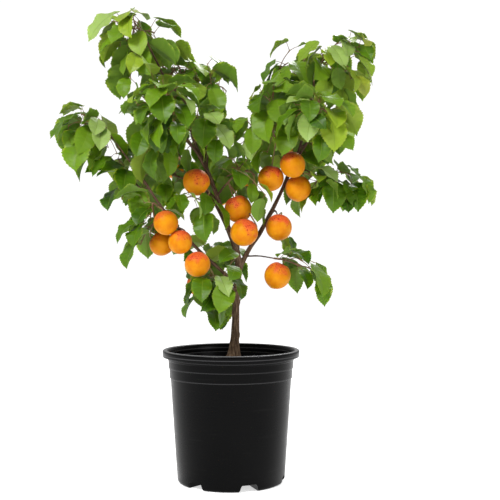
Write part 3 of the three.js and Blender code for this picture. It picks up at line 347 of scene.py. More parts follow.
# How the leaves that face the front view are sought. Lengths are in millimetres.
FACING_SEED = 5000
FACING_MASSES = 5
FACING_DEPTH = 0.25
FACING_NODES = np.linspace(0.2, 0.98, 9)
FACING_SMALLEST = 0.6
FACING_LEAST = 0.94
FACING_SPREAD = 0.22
FACING_TRIES = 1800
FACING_REACH = 66
FACING_ENOUGH = 20
FACING_EDGE_ON = 16
FACING_ROOT = 52
TOWARDS_FROM = 26
TOWARDS_TRIES = 260
TOWARDS_LEAVES = 14
TOWARDS_LENGTH = (16, 95)
TOWARDS_FIRST = 0.3
TOWARDS_RUN = 0.68
TOWARDS_DEPTH = 40
AGAIN_SEED = 4000
AGAIN_TRIES = 24
AGAIN_LEAST = 0.8
AGAIN_SPREAD = 0.2

UP = np.array([0.0, 0.0, 1.0])
AHEAD = np.array([1.0, 0.0, 0.0])


def unit(vector):
    return vector / np.linalg.norm(vector)


def cross(a, b):
    return np.array([a[1] * b[2] - a[2] * b[1], a[2] * b[0] - a[0] * b[2], a[0] * b[1] - a[1] * b[0]])


# A seeded stream of numbers from 0 to 1.
def seeded(seed):
    state = seed

    def draw():
        nonlocal state
        state = (state * 1664525 + 1013904223) % 4294967296
        return state / 4294967296

    return draw


# A smooth curve through its points.
class Curve:
    def __init__(self, points):
        points = np.array(points, float)
        self.last = len(points) - 1
        before = 2 * points[0] - points[1]
        after = 2 * points[-1] - points[-2]
        self.padded = np.vstack([before, points, after])

    def at(self, share):
        place = self.last * np.asarray(share, float)
        i = np.minimum(np.floor(place).astype(int), self.last - 1)
        w = np.asarray(place - i)[..., None]
        a, b, c, d = (self.padded[i + k] for k in range(4))
        start, end = 0.5 * (c - a), 0.5 * (d - b)
        cubic = 2 * b - 2 * c + start + end
        square = -3 * b + 3 * c - 2 * start - end
        return cubic * w**3 + square * w**2 + start * w + b

    def tangent(self, share):
        ahead = self.at(min(share + 1e-4, 1))
        return unit(ahead - self.at(max(share - 1e-4, 0)))

    def length(self):
        points = self.at(np.linspace(0, 1, 201))
        return float(np.sum(np.linalg.norm(np.diff(points, axis=0), axis=1)))


def across(heading):
    reference = AHEAD if abs(heading[2]) > 0.9 else UP
    side = unit(cross(heading, reference))
    return side, cross(heading, side)


# The direction that lies an angle away from the first, towards the second.
def around(first, second, angle):
    return first * math.cos(angle) + second * math.sin(angle)


# Places of the photo in the plane of the trunk.
def in_plane(places):
    places = np.array(places, float)
    right = CAMERA[0] + (places[:, 0] - PHOTO_SIZE / 2) * PIXEL
    up = CAMERA[2] - (places[:, 1] - PHOTO_SIZE / 2) * PIXEL
    return np.column_stack([right, up])


# A point as the front view shows it, carried along the line of sight to the plane of the trunk.
def seen_from_front(points):
    share = CAMERA[1] / (CAMERA[1] - points[..., 1])
    return CAMERA[[0, 2]] + (points[..., [0, 2]] - CAMERA[[0, 2]]) * share[..., None]


OUTLINES = [in_plane(outline) for outline in (CROWN_OUTLINE, LOW_OUTLINE, FRUIT_OUTLINE)]
SKY_MIDDLES = in_plane(SKY)
SKY_RADII = np.array(SKY)[:, 2] * PIXEL
FACING_BASES = in_plane(FACING)
FACING_TIPS = in_plane([row[2:] for row in FACING])


def within(outline, seen):
    x, z = seen[:, :1], seen[:, 1:]
    start, end = outline, np.roll(outline, -1, axis=0)
    rise = end[:, 1] - start[:, 1]
    rise = np.where(rise == 0, 1e-9, rise)
    passed = (start[:, 1] > z) != (end[:, 1] > z)
    left = x < start[:, 0] + (end[:, 0] - start[:, 0]) * (z - start[:, 1]) / rise
    return (passed & left).sum(axis=1) % 2 == 1


# The place on a twig's straight stretches at a share of its length.
def on_path(path, share):
    steps = len(path) - 1
    i = min(int(share * steps), steps - 1)
    return path[i] + (path[i + 1] - path[i]) * (share * steps - i)


# Limbs, and the spheres that stand for them when a leaf or twig is tested against the wood.
def limb_radius(name, radii, share, point):
    taper = radii[0] + (radii[1] - radii[0]) * share
    if name != "trunk":
        return taper
    height = np.maximum(point[..., 2] - MIX_TOP, 0)
    return taper + FLARE * np.exp(-height / FLARE_HEIGHT)


CURVES = {}
BEADS = []
for number, (name, parent, place, radii, points) in enumerate(LIMBS):
    if parent:
        points = [tuple(CURVES[parent].at(place))] + points
    CURVES[name] = Curve(points)
    count = math.ceil(CURVES[name].length() / BEAD_SPACING)
    shares = np.arange(count + 1) / count
    centres = CURVES[name].at(shares)
    widths = limb_radius(name, radii, shares, centres) * np.ones(count + 1)
    BEADS.append(np.column_stack([centres, widths, np.full(count + 1, number), shares]))
BEADS = np.vstack(BEADS)
LIMB_NUMBER = {limb[0]: number for number, limb in enumerate(LIMBS)}

FRUIT_CENTRES = np.array([fruit[1] for fruit in APRICOTS], float)
FRUIT_RADII = np.array([fruit[2] for fruit in APRICOTS], float)
FRUIT_OPEN = np.array([fruit[4] for fruit in APRICOTS])


class Mass:
    def __init__(self, name, on, centre, size, lean, shoots, seed):
        self.name, self.on, self.shoots, self.seed = name, on, shoots, seed
        self.middle = np.array(centre, float)
        self.size = np.array(size, float)
        self.half = self.size * SPACE_GROWTH
        self.power = float(np.mean(self.size)) ** 2
        self.lean = np.array(lean, float)
        self.limb = LIMB_NUMBER[on]
        self.twigs, self.leaves = [], []


MASS_LIST = [Mass(*row) for row in MASSES]
for mass in MASS_LIST:
    others = [other for other in MASS_LIST if other is not mass]
    gaps = np.array([np.linalg.norm(mass.middle - other.middle) for other in others])
    normals = np.array([mass.middle - other.middle for other in others]) / gaps[:, None]
    levels = np.array([other.middle @ other.middle - mass.middle @ mass.middle - other.power + mass.power
                       for other in others]) / (2 * gaps)
    mass.walls = (normals, levels)
    space = mass.half + NEIGHBOURHOOD
    mass.beads = BEADS[(np.abs(BEADS[:, :3] - mass.middle) < space).all(axis=1)]
    mass.bare = (mass.beads[:, 4] == mass.limb) & (mass.beads[:, 5] > OWN_TIP)
    close = np.abs(FRUIT_CENTRES - mass.middle) < space
    behind = close[:, 0] & close[:, 2]
    mass.fruits = np.nonzero(close.all(axis=1) | (behind & FRUIT_OPEN))[0]


def in_ellipsoid(mass, points, growth=1):
    offset = (points - mass.middle) / (mass.half * growth)
    return not (np.einsum("ij,ij->i", offset, offset) > 1).any()


def in_space(mass, points):
    normals, levels = mass.walls
    return in_ellipsoid(mass, points) and not (points @ normals.T + levels < SPACE_MARGIN).any()


# A looser space for what only the meshes have: a little past the ellipsoid, into other masses too.
def in_reach(mass, points):
    if not in_ellipsoid(mass, points, LOOSE_GROWTH):
        return False
    seen = seen_from_front(points)
    return bool(np.any([within(outline, seen) for outline in OUTLINES], axis=0).all())


def clear_of_wood(mass, points, margin, skip_own):
    beads = mass.beads[~mass.bare] if skip_own else mass.beads
    gaps = points[:, None, :] - beads[None, :, :3]
    reach = margin + beads[:, 3]
    return not (np.einsum("ijk,ijk->ij", gaps, gaps) < reach * reach).any()


def clear_of_fruit(mass, points):
    if not len(mass.fruits):
        return True
    gaps = points[:, None, :] - FRUIT_CENTRES[mass.fruits][None]
    radii = FRUIT_RADII[mass.fruits]
    reach = radii + FRUIT_MARGIN
    if (np.einsum("ijk,ijk->ij", gaps, gaps) < reach * reach).any():
        return False
    aside = np.hypot(gaps[:, :, 0], gaps[:, :, 2])
    hides = (gaps[:, :, 1] < 0) & (aside < FRUIT_VIEW * radii) & FRUIT_OPEN[mass.fruits]
    return not hides.any()


# How fast the tone of twigs changes with the place of their ends, in each direction.
TONE_STEPS = np.array([0.37, 0.61, 0.23])


class Twig:
    def __init__(self, points, radii, first, leaves, kind):
        self.curve = Curve(points)
        self.path = self.curve.at(np.linspace(0, 1, TWIG_STEPS + 1))
        self.radii, self.first, self.leaves, self.kind = radii, first, leaves, kind
        self.nodes, self.frames = [], {}
        self.tone = (self.path[-1] @ TONE_STEPS) % 1

    def frame(self, share):
        tangent = self.curve.tangent(share)
        return tangent, *across(tangent)


def twig_fits(mass, curve, inside=in_space):
    if curve.length() < SHORTEST_SHOOT:
        return False
    points = curve.at([0.25, 0.5, 0.75, 1])
    if not inside(mass, points) or not clear_of_fruit(mass, points):
        return False
    return clear_of_wood(mass, points, TWIG_MARGIN, True)


# The stem of a mass, from just past the limb's tip to its lean, and the shoots that leave it.
def grow_twigs(mass):
    draw = seeded(mass.seed)
    limb = CURVES[mass.on]
    heading = limb.tangent(1)
    foot = limb.at(1) + heading * CLEARANCE
    end = mass.lean * mass.size + mass.middle
    elbow = foot + heading * (np.linalg.norm(end - foot) * STEM_ELBOW)
    stem = Twig([foot, elbow, end], STEM_RADII, FIRST_STEM_LEAF, LEAVES_A_STEM, "stem")
    mass.twigs.append(stem)
    phase = draw() * TURN
    for k in range(mass.shoots):
        start = on_path(stem.path, FIRST_SHOOT + (LAST_SHOOT - FIRST_SHOOT) * (k + 1) / mass.shoots)
        height = 1 - 2 * (k + 0.5) / mass.shoots
        ring = math.sqrt(1 - height * height)
        turn = phase + k * GOLDEN_TURN
        aim = np.array([ring * math.cos(turn), ring * math.sin(turn), SHOOT_LIFT + SHOOT_RISE * height])
        reach = SHOOT_REACH * (1 + REACH_SPREAD * (draw() - 0.5))
        target = aim * mass.size * reach + mass.middle
        for pull in SHOOT_PULLS:
            end = start + (target - start) * pull
            middle = (start + end) / 2 + UP * SHOOT_ARCH * np.linalg.norm(end - start)
            twig = Twig([start, middle, end], SHOOT_RADII, FIRST_SHOOT_LEAF, LEAVES_A_SHOOT, "shoot")
            if twig_fits(mass, twig.curve):
                mass.twigs.append(twig)
                break
    for owner, centre, radius, stalk, _ in APRICOTS:
        if owner == mass.name:
            stalk = unit(np.array(stalk, float))
            inside = np.array(centre) + stalk * (radius * STALK_INSIDE)
            outside = np.array(centre) + stalk * (radius + STALK_ABOVE)
            starts = [on_path(stem.path, share) for share in STALK_FEET]
            start = min(starts, key=lambda point: np.linalg.norm(point - outside))
            mass.twigs.append(Twig([start, outside, inside], STALK_RADII, 1, 0, "stalk"))


class Leaf:
    def __init__(self, root, base, ahead, normal, side, length):
        self.root, self.base, self.ahead, self.normal, self.side = root, base, ahead, normal, side
        self.length, self.width = length, length * LEAF_WIDTH
        self.centre = base + ahead * (0.5 * length)
        self.blade = (base, ahead, normal, side, self.length, self.width)

    def place(self, places):
        along = places[:, :1] * self.length
        return self.base + along * self.ahead + places[:, 1:] * self.width * self.side


def blade_places():
    places = []
    for along, half in BLADE_PLACES:
        places += [(along, share * half) for share in ([-1, -0.5, 0, 0.5, 1] if half else [0])]
    return np.array(places, float)


SAMPLES = blade_places()
RIM = np.array([(0, 0)] + BLADE_RIM + [(1, 0)] + [(a, -b) for a, b in reversed(BLADE_RIM)], float)
RIM_FROM = [0, 1, 2, 3, 4, 5, 0, 1, 2]
RIM_TO = [1, 2, 3, 4, 5, 0, 3, 5, 4]


# One try at a leaf: the petiole leaves the twig sideways and upwards, and the blade hangs from it,
# steeper low in the mass than at its top.
def try_leaf(mass, twig, share, turn, draw, scale):
    if share not in twig.frames:
        twig.frames[share] = (on_path(twig.path, share), *twig.frame(share))
    root, tangent, side, other = twig.frames[share]
    heading = unit(around(side, other, turn) * PETIOLE_OUT + tangent * PETIOLE_ALONG + UP * PETIOLE_UP)
    length = LEAF_LENGTH * scale * (1 + LENGTH_SPREAD * (draw() - 0.5))
    petiole = PETIOLE_LENGTH * scale * (PETIOLE_SHORTEST + PETIOLE_SPREAD * draw())
    base = root + heading * petiole
    outward = (base - mass.middle) / mass.half
    height = min(max(outward[2], -1), 1)
    flat = outward * (OUTWARD - OUTWARD_SPREAD * draw()) + heading
    flat = unit(np.array([flat[0], flat[1] * FACE_BIAS, 0]))
    hang = DROOP - DROOP_BY_HEIGHT * height + DROOP_SPREAD * (draw() - 0.5)
    ahead = around(flat, UP, math.radians(-hang))
    face = around(UP, -flat, math.radians(-hang))
    normal = around(face, cross(face, ahead), math.radians(ROLL_SPREAD * (draw() - 0.5)))
    return Leaf(root, base, ahead, normal, cross(normal, ahead), length)


# Which of many stretches pass through which of many blades.
def crossings(starts, ends, bases, aheads, normals, sides, lengths, widths):
    a = starts - bases
    b = ends - bases
    before = np.einsum("...i,...i->...", a, normals)
    after = np.einsum("...i,...i->...", b, normals)
    gap = before - after
    same = gap == 0
    share = np.where(same, 0.5, before / np.where(same, 1, gap))
    at = a + (b - a) * share[..., None]
    along = np.einsum("...i,...i->...", at, aheads) / lengths
    aside = np.abs(np.einsum("...i,...i->...", at, sides)) / widths
    end = 1 + BLADE_MARGIN
    inside = (along > -BLADE_MARGIN) & (along < end) & (aside < 0.5) & (aside < BLADE_TAPER * (end - along))
    return (before * after <= 0) & inside


def stretches(leaf):
    rim = leaf.place(RIM)
    starts = np.vstack([rim[RIM_FROM], leaf.root])
    ends = np.vstack([rim[RIM_TO], leaf.base])
    return starts, ends


def leaf_fits(mass, leaf, store, inside=in_space):
    if unit(leaf.base - leaf.root) @ leaf.ahead < SHARPEST_BEND:
        return False
    if inside is in_reach and shows_sky(leaf):
        return False
    samples = leaf.place(SAMPLES)
    if not inside(mass, np.vstack([leaf.root, samples])):
        return False
    run = np.array([leaf.root + (leaf.base - leaf.root) * share for share in PETIOLE_PLACES])
    if not clear_of_fruit(mass, np.vstack([run, samples])):
        return False
    if not clear_of_wood(mass, run, TWIG_MARGIN, True):
        return False
    if not clear_of_wood(mass, samples, LIMB_MARGIN, False):
        return False
    if crossings(store.twig_starts, store.twig_ends, *leaf.blade).any():
        return False
    starts, ends = stretches(leaf)
    bases, lengths = store.blades[0], store.blades[4]
    near = np.linalg.norm(bases - leaf.base, axis=1) < lengths + leaf.length
    if near.any():
        if crossings(starts[None], ends[None], *[values[near][:, None] for values in store.blades]).any():
            return False
        if crossings(store.starts[near], store.ends[near], *leaf.blade).any():
            return False
    leaf.lines = (starts, ends)
    return True


# Twigs and leaves as arrays, for the tests against them.
class Store:
    def __init__(self, twigs):
        self.twig_starts = np.vstack([twig.path[:-1] for twig in twigs])
        self.twig_ends = np.vstack([twig.path[1:] for twig in twigs])
        self.blades = [np.zeros((0, 3))] * 4 + [np.zeros(0)] * 2
        self.starts = self.ends = np.zeros((0, len(RIM_FROM) + 1, 3))

    def add_leaf(self, leaf):
        self.blades = [np.concatenate([kept, [value]]) for kept, value in zip(self.blades, leaf.blade)]
        self.starts = np.concatenate([self.starts, leaf.lines[0][None]])
        self.ends = np.concatenate([self.ends, leaf.lines[1][None]])

    def add_twig(self, twig):
        self.twig_starts = np.vstack([self.twig_starts, twig.path[:-1]])
        self.twig_ends = np.vstack([self.twig_ends, twig.path[1:]])


PLACED = [np.zeros((0, 3))]


def roominess(leaf):
    if not len(PLACED[0]):
        return LEAF_LENGTH
    return min(LEAF_LENGTH, float(np.min(np.linalg.norm(PLACED[0] - leaf.centre, axis=1))))


def keep_leaf(mass, leaf, twig, share, age, store):
    leaf.age, leaf.spray, leaf.twig, leaf.share = age, twig.tone, twig, share
    mass.leaves.append(leaf)
    store.add_leaf(leaf)
    twig.nodes.append(share)
    PLACED[0] = np.vstack([PLACED[0], leaf.centre])


# The roomiest of some tries at a leaf is kept where it has more room than its spacing.
def grow_leaf(mass, twig, share, turn, draw, scale, tries, age, spacing, store, inside=in_space):
    best = None
    for attempt in range(tries):
        size = scale * (1 - LEAF_SHRINK * attempt / tries)
        leaf = try_leaf(mass, twig, share, turn + attempt * TURN_A_TRY, draw, size)
        if leaf_fits(mass, leaf, store, inside):
            leaf.room = roominess(leaf) * size
            if best is None or leaf.room > best.room:
                best = leaf
    if best is not None and best.room > spacing:
        keep_leaf(mass, best, twig, share, age, store)


def grow_leaves(mass):
    draw = seeded(mass.seed + LEAF_SEED)
    store = Store(mass.twigs)
    turn = draw() * TURN
    for twig in mass.twigs:
        for k in range(twig.leaves):
            share = twig.first + (LAST_LEAF - twig.first) * k / (twig.leaves - 1)
            scale = TIP_LEAF_SCALE if k == twig.leaves - 1 else 1
            age = k / (twig.leaves - 1)
            turn += GOLDEN_TURN
            grow_leaf(mass, twig, share, turn, draw, scale, LEAF_TRIES, age, LEAF_SPACING, store)


def shows_sky(leaf):
    seen = seen_from_front(leaf.place(SKY_PLACES))
    gaps = np.linalg.norm(seen[:, None] - SKY_MIDDLES[None], axis=2)
    return bool((gaps < SKY_RADII).any())


# A finer twig between two points, or nothing where it doesn't fit.
def fine_between(mass, root, end):
    middle = (root + end) / 2 + UP * FINE_ARCH * np.linalg.norm(end - root)
    fine = Twig([root, middle, end], FINE_RADII, 1, 0, "fine")
    if not twig_fits(mass, fine.curve, in_reach):
        return None
    blades = [values[:, None] for values in CROWN.blades]
    crossed = crossings(fine.path[None, :-1], fine.path[None, 1:], *blades).any()
    return None if crossed else fine


# A finer twig towards a place in the front view, from a twig of one of the masses nearest to it.
def twig_towards(near, place, draw):
    mass = near[int(draw() * len(near))]
    twig = mass.twigs[int(draw() * len(mass.twigs))]
    share = TOWARDS_FIRST + TOWARDS_RUN * draw()
    if twig.kind not in ("stem", "shoot"):
        return mass, twig, share, None
    root = twig.curve.at(share)
    depth = root[1] + TOWARDS_DEPTH * (draw() - 0.5) - CAMERA[1]
    aside = place + PETIOLE_LENGTH * (np.array([draw(), draw()]) - 0.5)
    end = CAMERA + (np.array([aside[0], 0, aside[1]]) - CAMERA) * (depth / -CAMERA[1])
    shortest, longest = TOWARDS_LENGTH
    fits = shortest < np.linalg.norm(end - root) < longest
    return mass, twig, share, fine_between(mass, root, end) if fits else None


# A leaf that the front view shows at a given place: of many tries, the one that lies closest to it.
# Where no twig comes near enough, a finer one grows towards the place and bears the leaf at its end.
def grow_facing(number, stalk_end, tip):
    draw = seeded(FACING_SEED + number)

    def distance(mass):
        aside = np.linalg.norm(seen_from_front(mass.middle) - (stalk_end + tip) / 2)
        return aside + FACING_DEPTH * mass.middle[1]

    near = sorted(MASS_LIST, key=distance)[:FACING_MASSES]
    roots = []
    for mass in near:
        for twig in [twig for twig in mass.twigs if twig.kind != "stalk"]:
            for share in FACING_NODES:
                if np.linalg.norm(seen_from_front(on_path(twig.path, share)) - stalk_end) < FACING_ROOT:
                    roots.append((mass, twig, share))
    size = min(1, max(FACING_SMALLEST, np.linalg.norm(tip - stalk_end) / LEAF_LENGTH))
    best, nearest, bearer = None, FACING_REACH, None

    def try_from(mass, twig, share):
        nonlocal best, nearest
        turn = TURN * draw()
        leaf = try_leaf(mass, twig, share, turn, draw, size * (FACING_LEAST + FACING_SPREAD * draw()))
        ends = seen_from_front(np.array([leaf.base, leaf.base + leaf.ahead * leaf.length]))
        off = np.linalg.norm(ends[0] - stalk_end) + np.linalg.norm(ends[1] - tip)
        off += FACING_EDGE_ON * (1 - abs(leaf.normal[1]))
        closer = off < nearest and leaf_fits(mass, leaf, CROWN, in_reach)
        if closer:
            best, nearest = (mass, leaf, twig, share), off
        return closer

    tries = FACING_TRIES if roots else 0
    while tries > 0 and nearest > FACING_ENOUGH:
        tries -= 1
        try_from(*roots[int(draw() * len(roots))])
    tries = TOWARDS_TRIES if nearest > TOWARDS_FROM else 0
    while tries > 0 and nearest > FACING_ENOUGH:
        tries -= 1
        mass, twig, share, fine = twig_towards(near, stalk_end, draw)
        if fine is None:
            continue
        for _ in range(TOWARDS_LEAVES):
            if try_from(mass, fine, LAST_LEAF):
                bearer = (mass, twig, share, fine)
    if best:
        keep_leaf(*best, 1, CROWN)
    if bearer and best[2] is bearer[3]:
        mass, twig, share, fine = bearer
        CROWN.add_twig(fine)
        mass.twigs.append(fine)
        twig.nodes.append(share)


# The source's leaves stay where they clear the front view's sky and the leaves that face it. The
# others are tried again at the same node.
def settle_leaves():
    grown = [(mass, leaf) for mass in MASS_LIST for leaf in mass.leaves]
    PLACED[0] = np.zeros((0, 3))
    for mass in MASS_LIST:
        mass.leaves = []
        for twig in mass.twigs:
            twig.nodes = []
    for number, ends in enumerate(zip(FACING_BASES, FACING_TIPS)):
        grow_facing(number, *ends)
    waiting = []
    for mass, leaf in grown:
        if leaf_fits(mass, leaf, CROWN, in_reach):
            keep_leaf(mass, leaf, leaf.twig, leaf.share, leaf.age, CROWN)
        else:
            waiting.append((mass, leaf))
    draw = seeded(AGAIN_SEED)
    for mass, leaf in waiting:
        scale = AGAIN_LEAST + AGAIN_SPREAD * draw()
        limits = (scale, AGAIN_TRIES, leaf.age, FINE_SPACING * scale)
        grow_leaf(mass, leaf.twig, leaf.share, TURN * draw(), draw, *limits, CROWN, in_reach)


# Finer twigs leave the stem and shoots between their leaves and carry smaller leaves.
def grow_finer(mass):
    draw = seeded(mass.seed + FINE_SEED)
    turn = draw() * TURN
    for twig in [twig for twig in mass.twigs if twig.kind != "stalk"]:
        for k in range(FINE_TWIGS):
            share = FINE_FIRST + FINE_RUN * (k + draw()) / FINE_TWIGS
            turn += GOLDEN_TURN
            fine = fine_twig(mass, twig, share, turn, draw)
            if fine is None:
                continue
            CROWN.add_twig(fine)
            for place, scale in FINE_LEAVES:
                turn += GOLDEN_TURN
                limits = (scale, FINE_LEAF_TRIES, 1 + place, FINE_SPACING * scale)
                grow_leaf(mass, fine, place, turn, draw, *limits, CROWN, in_reach)
            if fine.nodes:
                mass.twigs.append(fine)
                twig.nodes.append(share)


def fine_twig(mass, twig, share, turn, draw):
    root = twig.curve.at(share)
    tangent, side, other = twig.frame(share)
    shortest, longest = FINE_LENGTH
    for attempt in range(FINE_TRIES):
        out = around(side, other, turn + attempt * TURN_A_TRY)
        heading = unit(out * FINE_OUT + tangent * FINE_ALONG + UP * FINE_UP)
        fine = fine_between(mass, root, root + heading * (shortest + (longest - shortest) * draw()))
        if fine is not None:
            return fine
    return None


# Shoots that bear nothing are left out, and a stem ends at the last thing that it bears.
def drop_bare_ends(mass):
    mass.twigs = [twig for twig in mass.twigs if twig.kind in ("stem", "stalk") or twig.nodes]
    stem = mass.twigs[0]
    line = stem.curve.at(np.linspace(0, 1, STEM_STEPS + 1))
    borne = [twig.path[0] for twig in mass.twigs[1:]] + [leaf.root for leaf in mass.leaves]
    gaps = np.linalg.norm(np.array(borne)[:, None] - line[None], axis=2)
    steps = np.argmin(gaps, axis=1)[gaps.min(axis=1) < BORNE_GAP]
    last = max(SHORTEST_STEM, steps.max(initial=0) / STEM_STEPS)
    if last < WHOLE_STEM:
        stem.curve = Curve(list(stem.curve.at(np.linspace(0, last, 4))))
        stem.nodes = [min(1, share / last) for share in stem.nodes]


for mass in MASS_LIST:
    grow_twigs(mass)
for mass in MASS_LIST:
    grow_leaves(mass)
CROWN = Store([twig for mass in MASS_LIST for twig in mass.twigs])
settle_leaves()
for mass in MASS_LIST:
    grow_finer(mass)
    drop_bare_ends(mass)


# Meshes. Every array of points is in millimetres and is turned into metres when a piece is made.
class Piece:
    def __init__(self):
        self.points, self.faces, self.slots, self.extras, self.count = [], [], [], {}, 0

    def add(self, points, faces, slots, **extras):
        self.points.append(points)
        self.faces.append(faces + self.count)
        self.slots.append(np.broadcast_to(slots, (len(faces),)))
        for name, values in extras.items():
            self.extras.setdefault(name, []).append(values)
        self.count += len(points)

    def mesh(self, name, materials):
        points, faces = np.vstack(self.points), np.vstack(self.faces)
        mesh = mesh_of(name, points, faces, np.concatenate(self.slots), materials)
        for key, values in self.extras.items():
            add_layer(mesh, key, np.concatenate(values))
        return mesh

    def make(self, name, materials):
        return place_piece(name, self.mesh(name, materials))


def add_layer(mesh, name, values):
    kind, key = ("FLOAT", "value") if values.ndim == 1 else ("FLOAT_VECTOR", "vector")
    layer = mesh.attributes.new(name, kind, "POINT")
    layer.data.foreach_set(key, values.astype(np.float32).ravel())


def smooth_faces(mesh):
    mesh.polygons.foreach_set("use_smooth", np.ones(len(mesh.polygons), dtype=bool))


def mesh_of(name, points, faces, slots, materials):
    mesh = bpy.data.meshes.new(name)
    mesh.vertices.add(len(points))
    mesh.vertices.foreach_set("co", (points * MM).astype(np.float32).ravel())
    corners = faces.shape[1]
    mesh.loops.add(faces.size)
    mesh.loops.foreach_set("vertex_index", faces.astype(np.int32).ravel())
    mesh.polygons.add(len(faces))
    mesh.polygons.foreach_set("loop_start", np.arange(0, faces.size, corners, dtype=np.int32))
    mesh.polygons.foreach_set("material_index", np.asarray(slots, dtype=np.int32))
    smooth_faces(mesh)
    for material in materials:
        mesh.materials.append(material)
    mesh.update(calc_edges=True)
    mesh.validate()
    return mesh


def add_object(name, data):
    made = bpy.data.objects.new(name, data)
    bpy.context.scene.collection.objects.link(made)
    return made


def place_piece(name, mesh):
    piece = add_object(name, mesh)
    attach(piece, "root")
    return piece


# Frames that turn as little as they can along a line of points.
def carried_frames(points):
    tangents = np.gradient(points, axis=0)
    tangents /= np.linalg.norm(tangents, axis=1)[:, None]
    side = across(tangents[0])[0]
    sides = []
    for tangent in tangents:
        side = unit(side - tangent * (side @ tangent))
        sides.append(side)
    sides = np.array(sides)
    return tangents, sides, np.cross(tangents, sides)


TIP_ROUND = 0.6
NEARLY_CLOSED = 0.02


# A round tube as rings of points, nearly closed at its far end and, if asked, at its foot.
def tube(points, radii, sides, close_foot=False):
    tangents, first, second = carried_frames(points)
    tip = points[-1] + tangents[-1] * radii[-1] * TIP_ROUND
    frames = [*range(len(points)), -1, -1]
    middles = np.vstack([points, tip, tip])
    radii = np.append(radii, [radii[-1] * TIP_ROUND, radii[-1] * NEARLY_CLOSED])
    if close_foot:
        frames = [0, *frames]
        middles = np.vstack([points[:1], middles])
        radii = np.append(radii[0] * NEARLY_CLOSED, radii)
    turns = turns_of(sides)[None, :, None]
    ways = first[frames, None] * np.cos(turns) + second[frames, None] * np.sin(turns)
    rings = middles[:, None] + ways * radii[:, None, None]
    return rings.reshape(-1, 3), grid_faces(len(radii), sides)


def turns_of(sides):
    return np.arange(sides) * TURN / sides


# Joins the double points of a mesh and fills its holes of up to so many sides, or all for 0.
def close_mesh(mesh, joined_within, largest_hole, face_out):
    closed = bmesh.new()
    closed.from_mesh(mesh)
    bmesh.ops.remove_doubles(closed, verts=closed.verts, dist=joined_within)
    bmesh.ops.holes_fill(closed, edges=closed.edges, sides=largest_hole)
    if face_out:
        bmesh.ops.recalc_face_normals(closed, faces=closed.faces)
    closed.to_mesh(mesh)
    closed.free()


# The mesh of an object with its modifiers worked in.
def worked_mesh(made):
    graph = bpy.context.evaluated_depsgraph_get()
    return bpy.data.meshes.new_from_object(made.evaluated_get(graph), depsgraph=graph)


# Faces between rows of points, where a closed row joins its last point to its first.
def grid_faces(rows, columns, closed=True):
    first = np.arange(rows - 1)[:, None] * columns
    j = np.arange(columns if closed else columns - 1)[None]
    here = first + j
    beside = first + (j + 1) % columns
    return np.stack([here, beside, beside + columns, here + columns], axis=-1).reshape(-1, 4)


# Materials, as plain colours or as patterns made by nodes.
class Nodes:
    def __init__(self, name):
        self.material = bpy.data.materials.new(name)
        self.material.use_nodes = True
        self.tree = self.material.node_tree
        self.shader = self.tree.nodes["Principled BSDF"]

    def set(self, **values):
        for key, value in values.items():
            self.shader.inputs[key.replace("_", " ")].default_value = value

    def node(self, kind, inputs, **settings):
        node = self.tree.nodes.new(kind)
        for key, value in settings.items():
            setattr(node, key, value)
        for key, value in inputs.items():
            if isinstance(value, bpy.types.NodeSocket):
                self.tree.links.new(value, node.inputs[key])
            else:
                node.inputs[key].default_value = value
        return node

    def link(self, value, name):
        self.tree.links.new(value, self.shader.inputs[name])

    def attribute(self, name, output):
        return self.node("ShaderNodeAttribute", {}, attribute_name=name).outputs[output]

    def place(self, scale=(1, 1, 1), attribute=None):
        if attribute:
            source = self.attribute(attribute, "Vector")
        else:
            source = self.node("ShaderNodeTexCoord", {}).outputs["Object"]
        return self.node("ShaderNodeMapping", {"Vector": source, "Scale": scale}).outputs["Vector"]

    def noise(self, vector, scale, detail=3, rough=0.55):
        inputs = {"Vector": vector, "Scale": scale, "Detail": detail, "Roughness": rough}
        return self.node("ShaderNodeTexNoise", inputs).outputs["Fac"]

    def ramp(self, value, stops):
        ramp = self.node("ShaderNodeValToRGB", {"Fac": value})
        elements = ramp.color_ramp.elements
        while len(elements) < len(stops):
            elements.new(0.5)
        for element, (place, colour) in zip(elements, stops):
            element.position = place
            element.color = (*colour, 1)
        return ramp.outputs["Color"]

    def span(self, value, low, high, to_low=0, to_high=1):
        inputs = {"Value": value, "From Min": low, "From Max": high, "To Min": to_low, "To Max": to_high}
        return self.node("ShaderNodeMapRange", inputs).outputs["Result"]

    def mix(self, share, *colours):
        first, second = ((*colour, 1) if isinstance(colour, tuple) else colour for colour in colours)
        return self.node("ShaderNodeMix", {0: share, 6: first, 7: second}, data_type="RGBA").outputs[2]

    def maths(self, operation, first, second):
        return self.node("ShaderNodeMath", {0: first, 1: second}, operation=operation).outputs[0]

    def bump(self, height, strength, distance):
        inputs = {"Height": height, "Strength": strength, "Distance": distance}
        self.link(self.node("ShaderNodeBump", inputs).outputs["Normal"], "Normal")


# A mottled colour, with the mottling as its relief.
def mottled_material(name, roughness, gloss, noise_scale, detail, stops, strength, depth):
    made = Nodes(name)
    made.set(Roughness=roughness, Specular_IOR_Level=gloss)
    mottle = made.noise(made.place(), noise_scale, detail)
    made.link(made.ramp(mottle, stops), "Base Color")
    made.bump(mottle, strength, depth)
    return made.material


def leaf_material(name, colour, roughness, gloss):
    made = Nodes(name)
    made.set(Base_Color=(*colour, 1), Roughness=roughness, Specular_IOR_Level=gloss)
    made.set(Subsurface_Weight=0.3, Subsurface_Scale=0.002, Subsurface_Radius=(0.7, 1.0, 0.2))
    made.bump(made.noise(made.place(), 700, 3), 0.35, 0.0003)
    return made.material


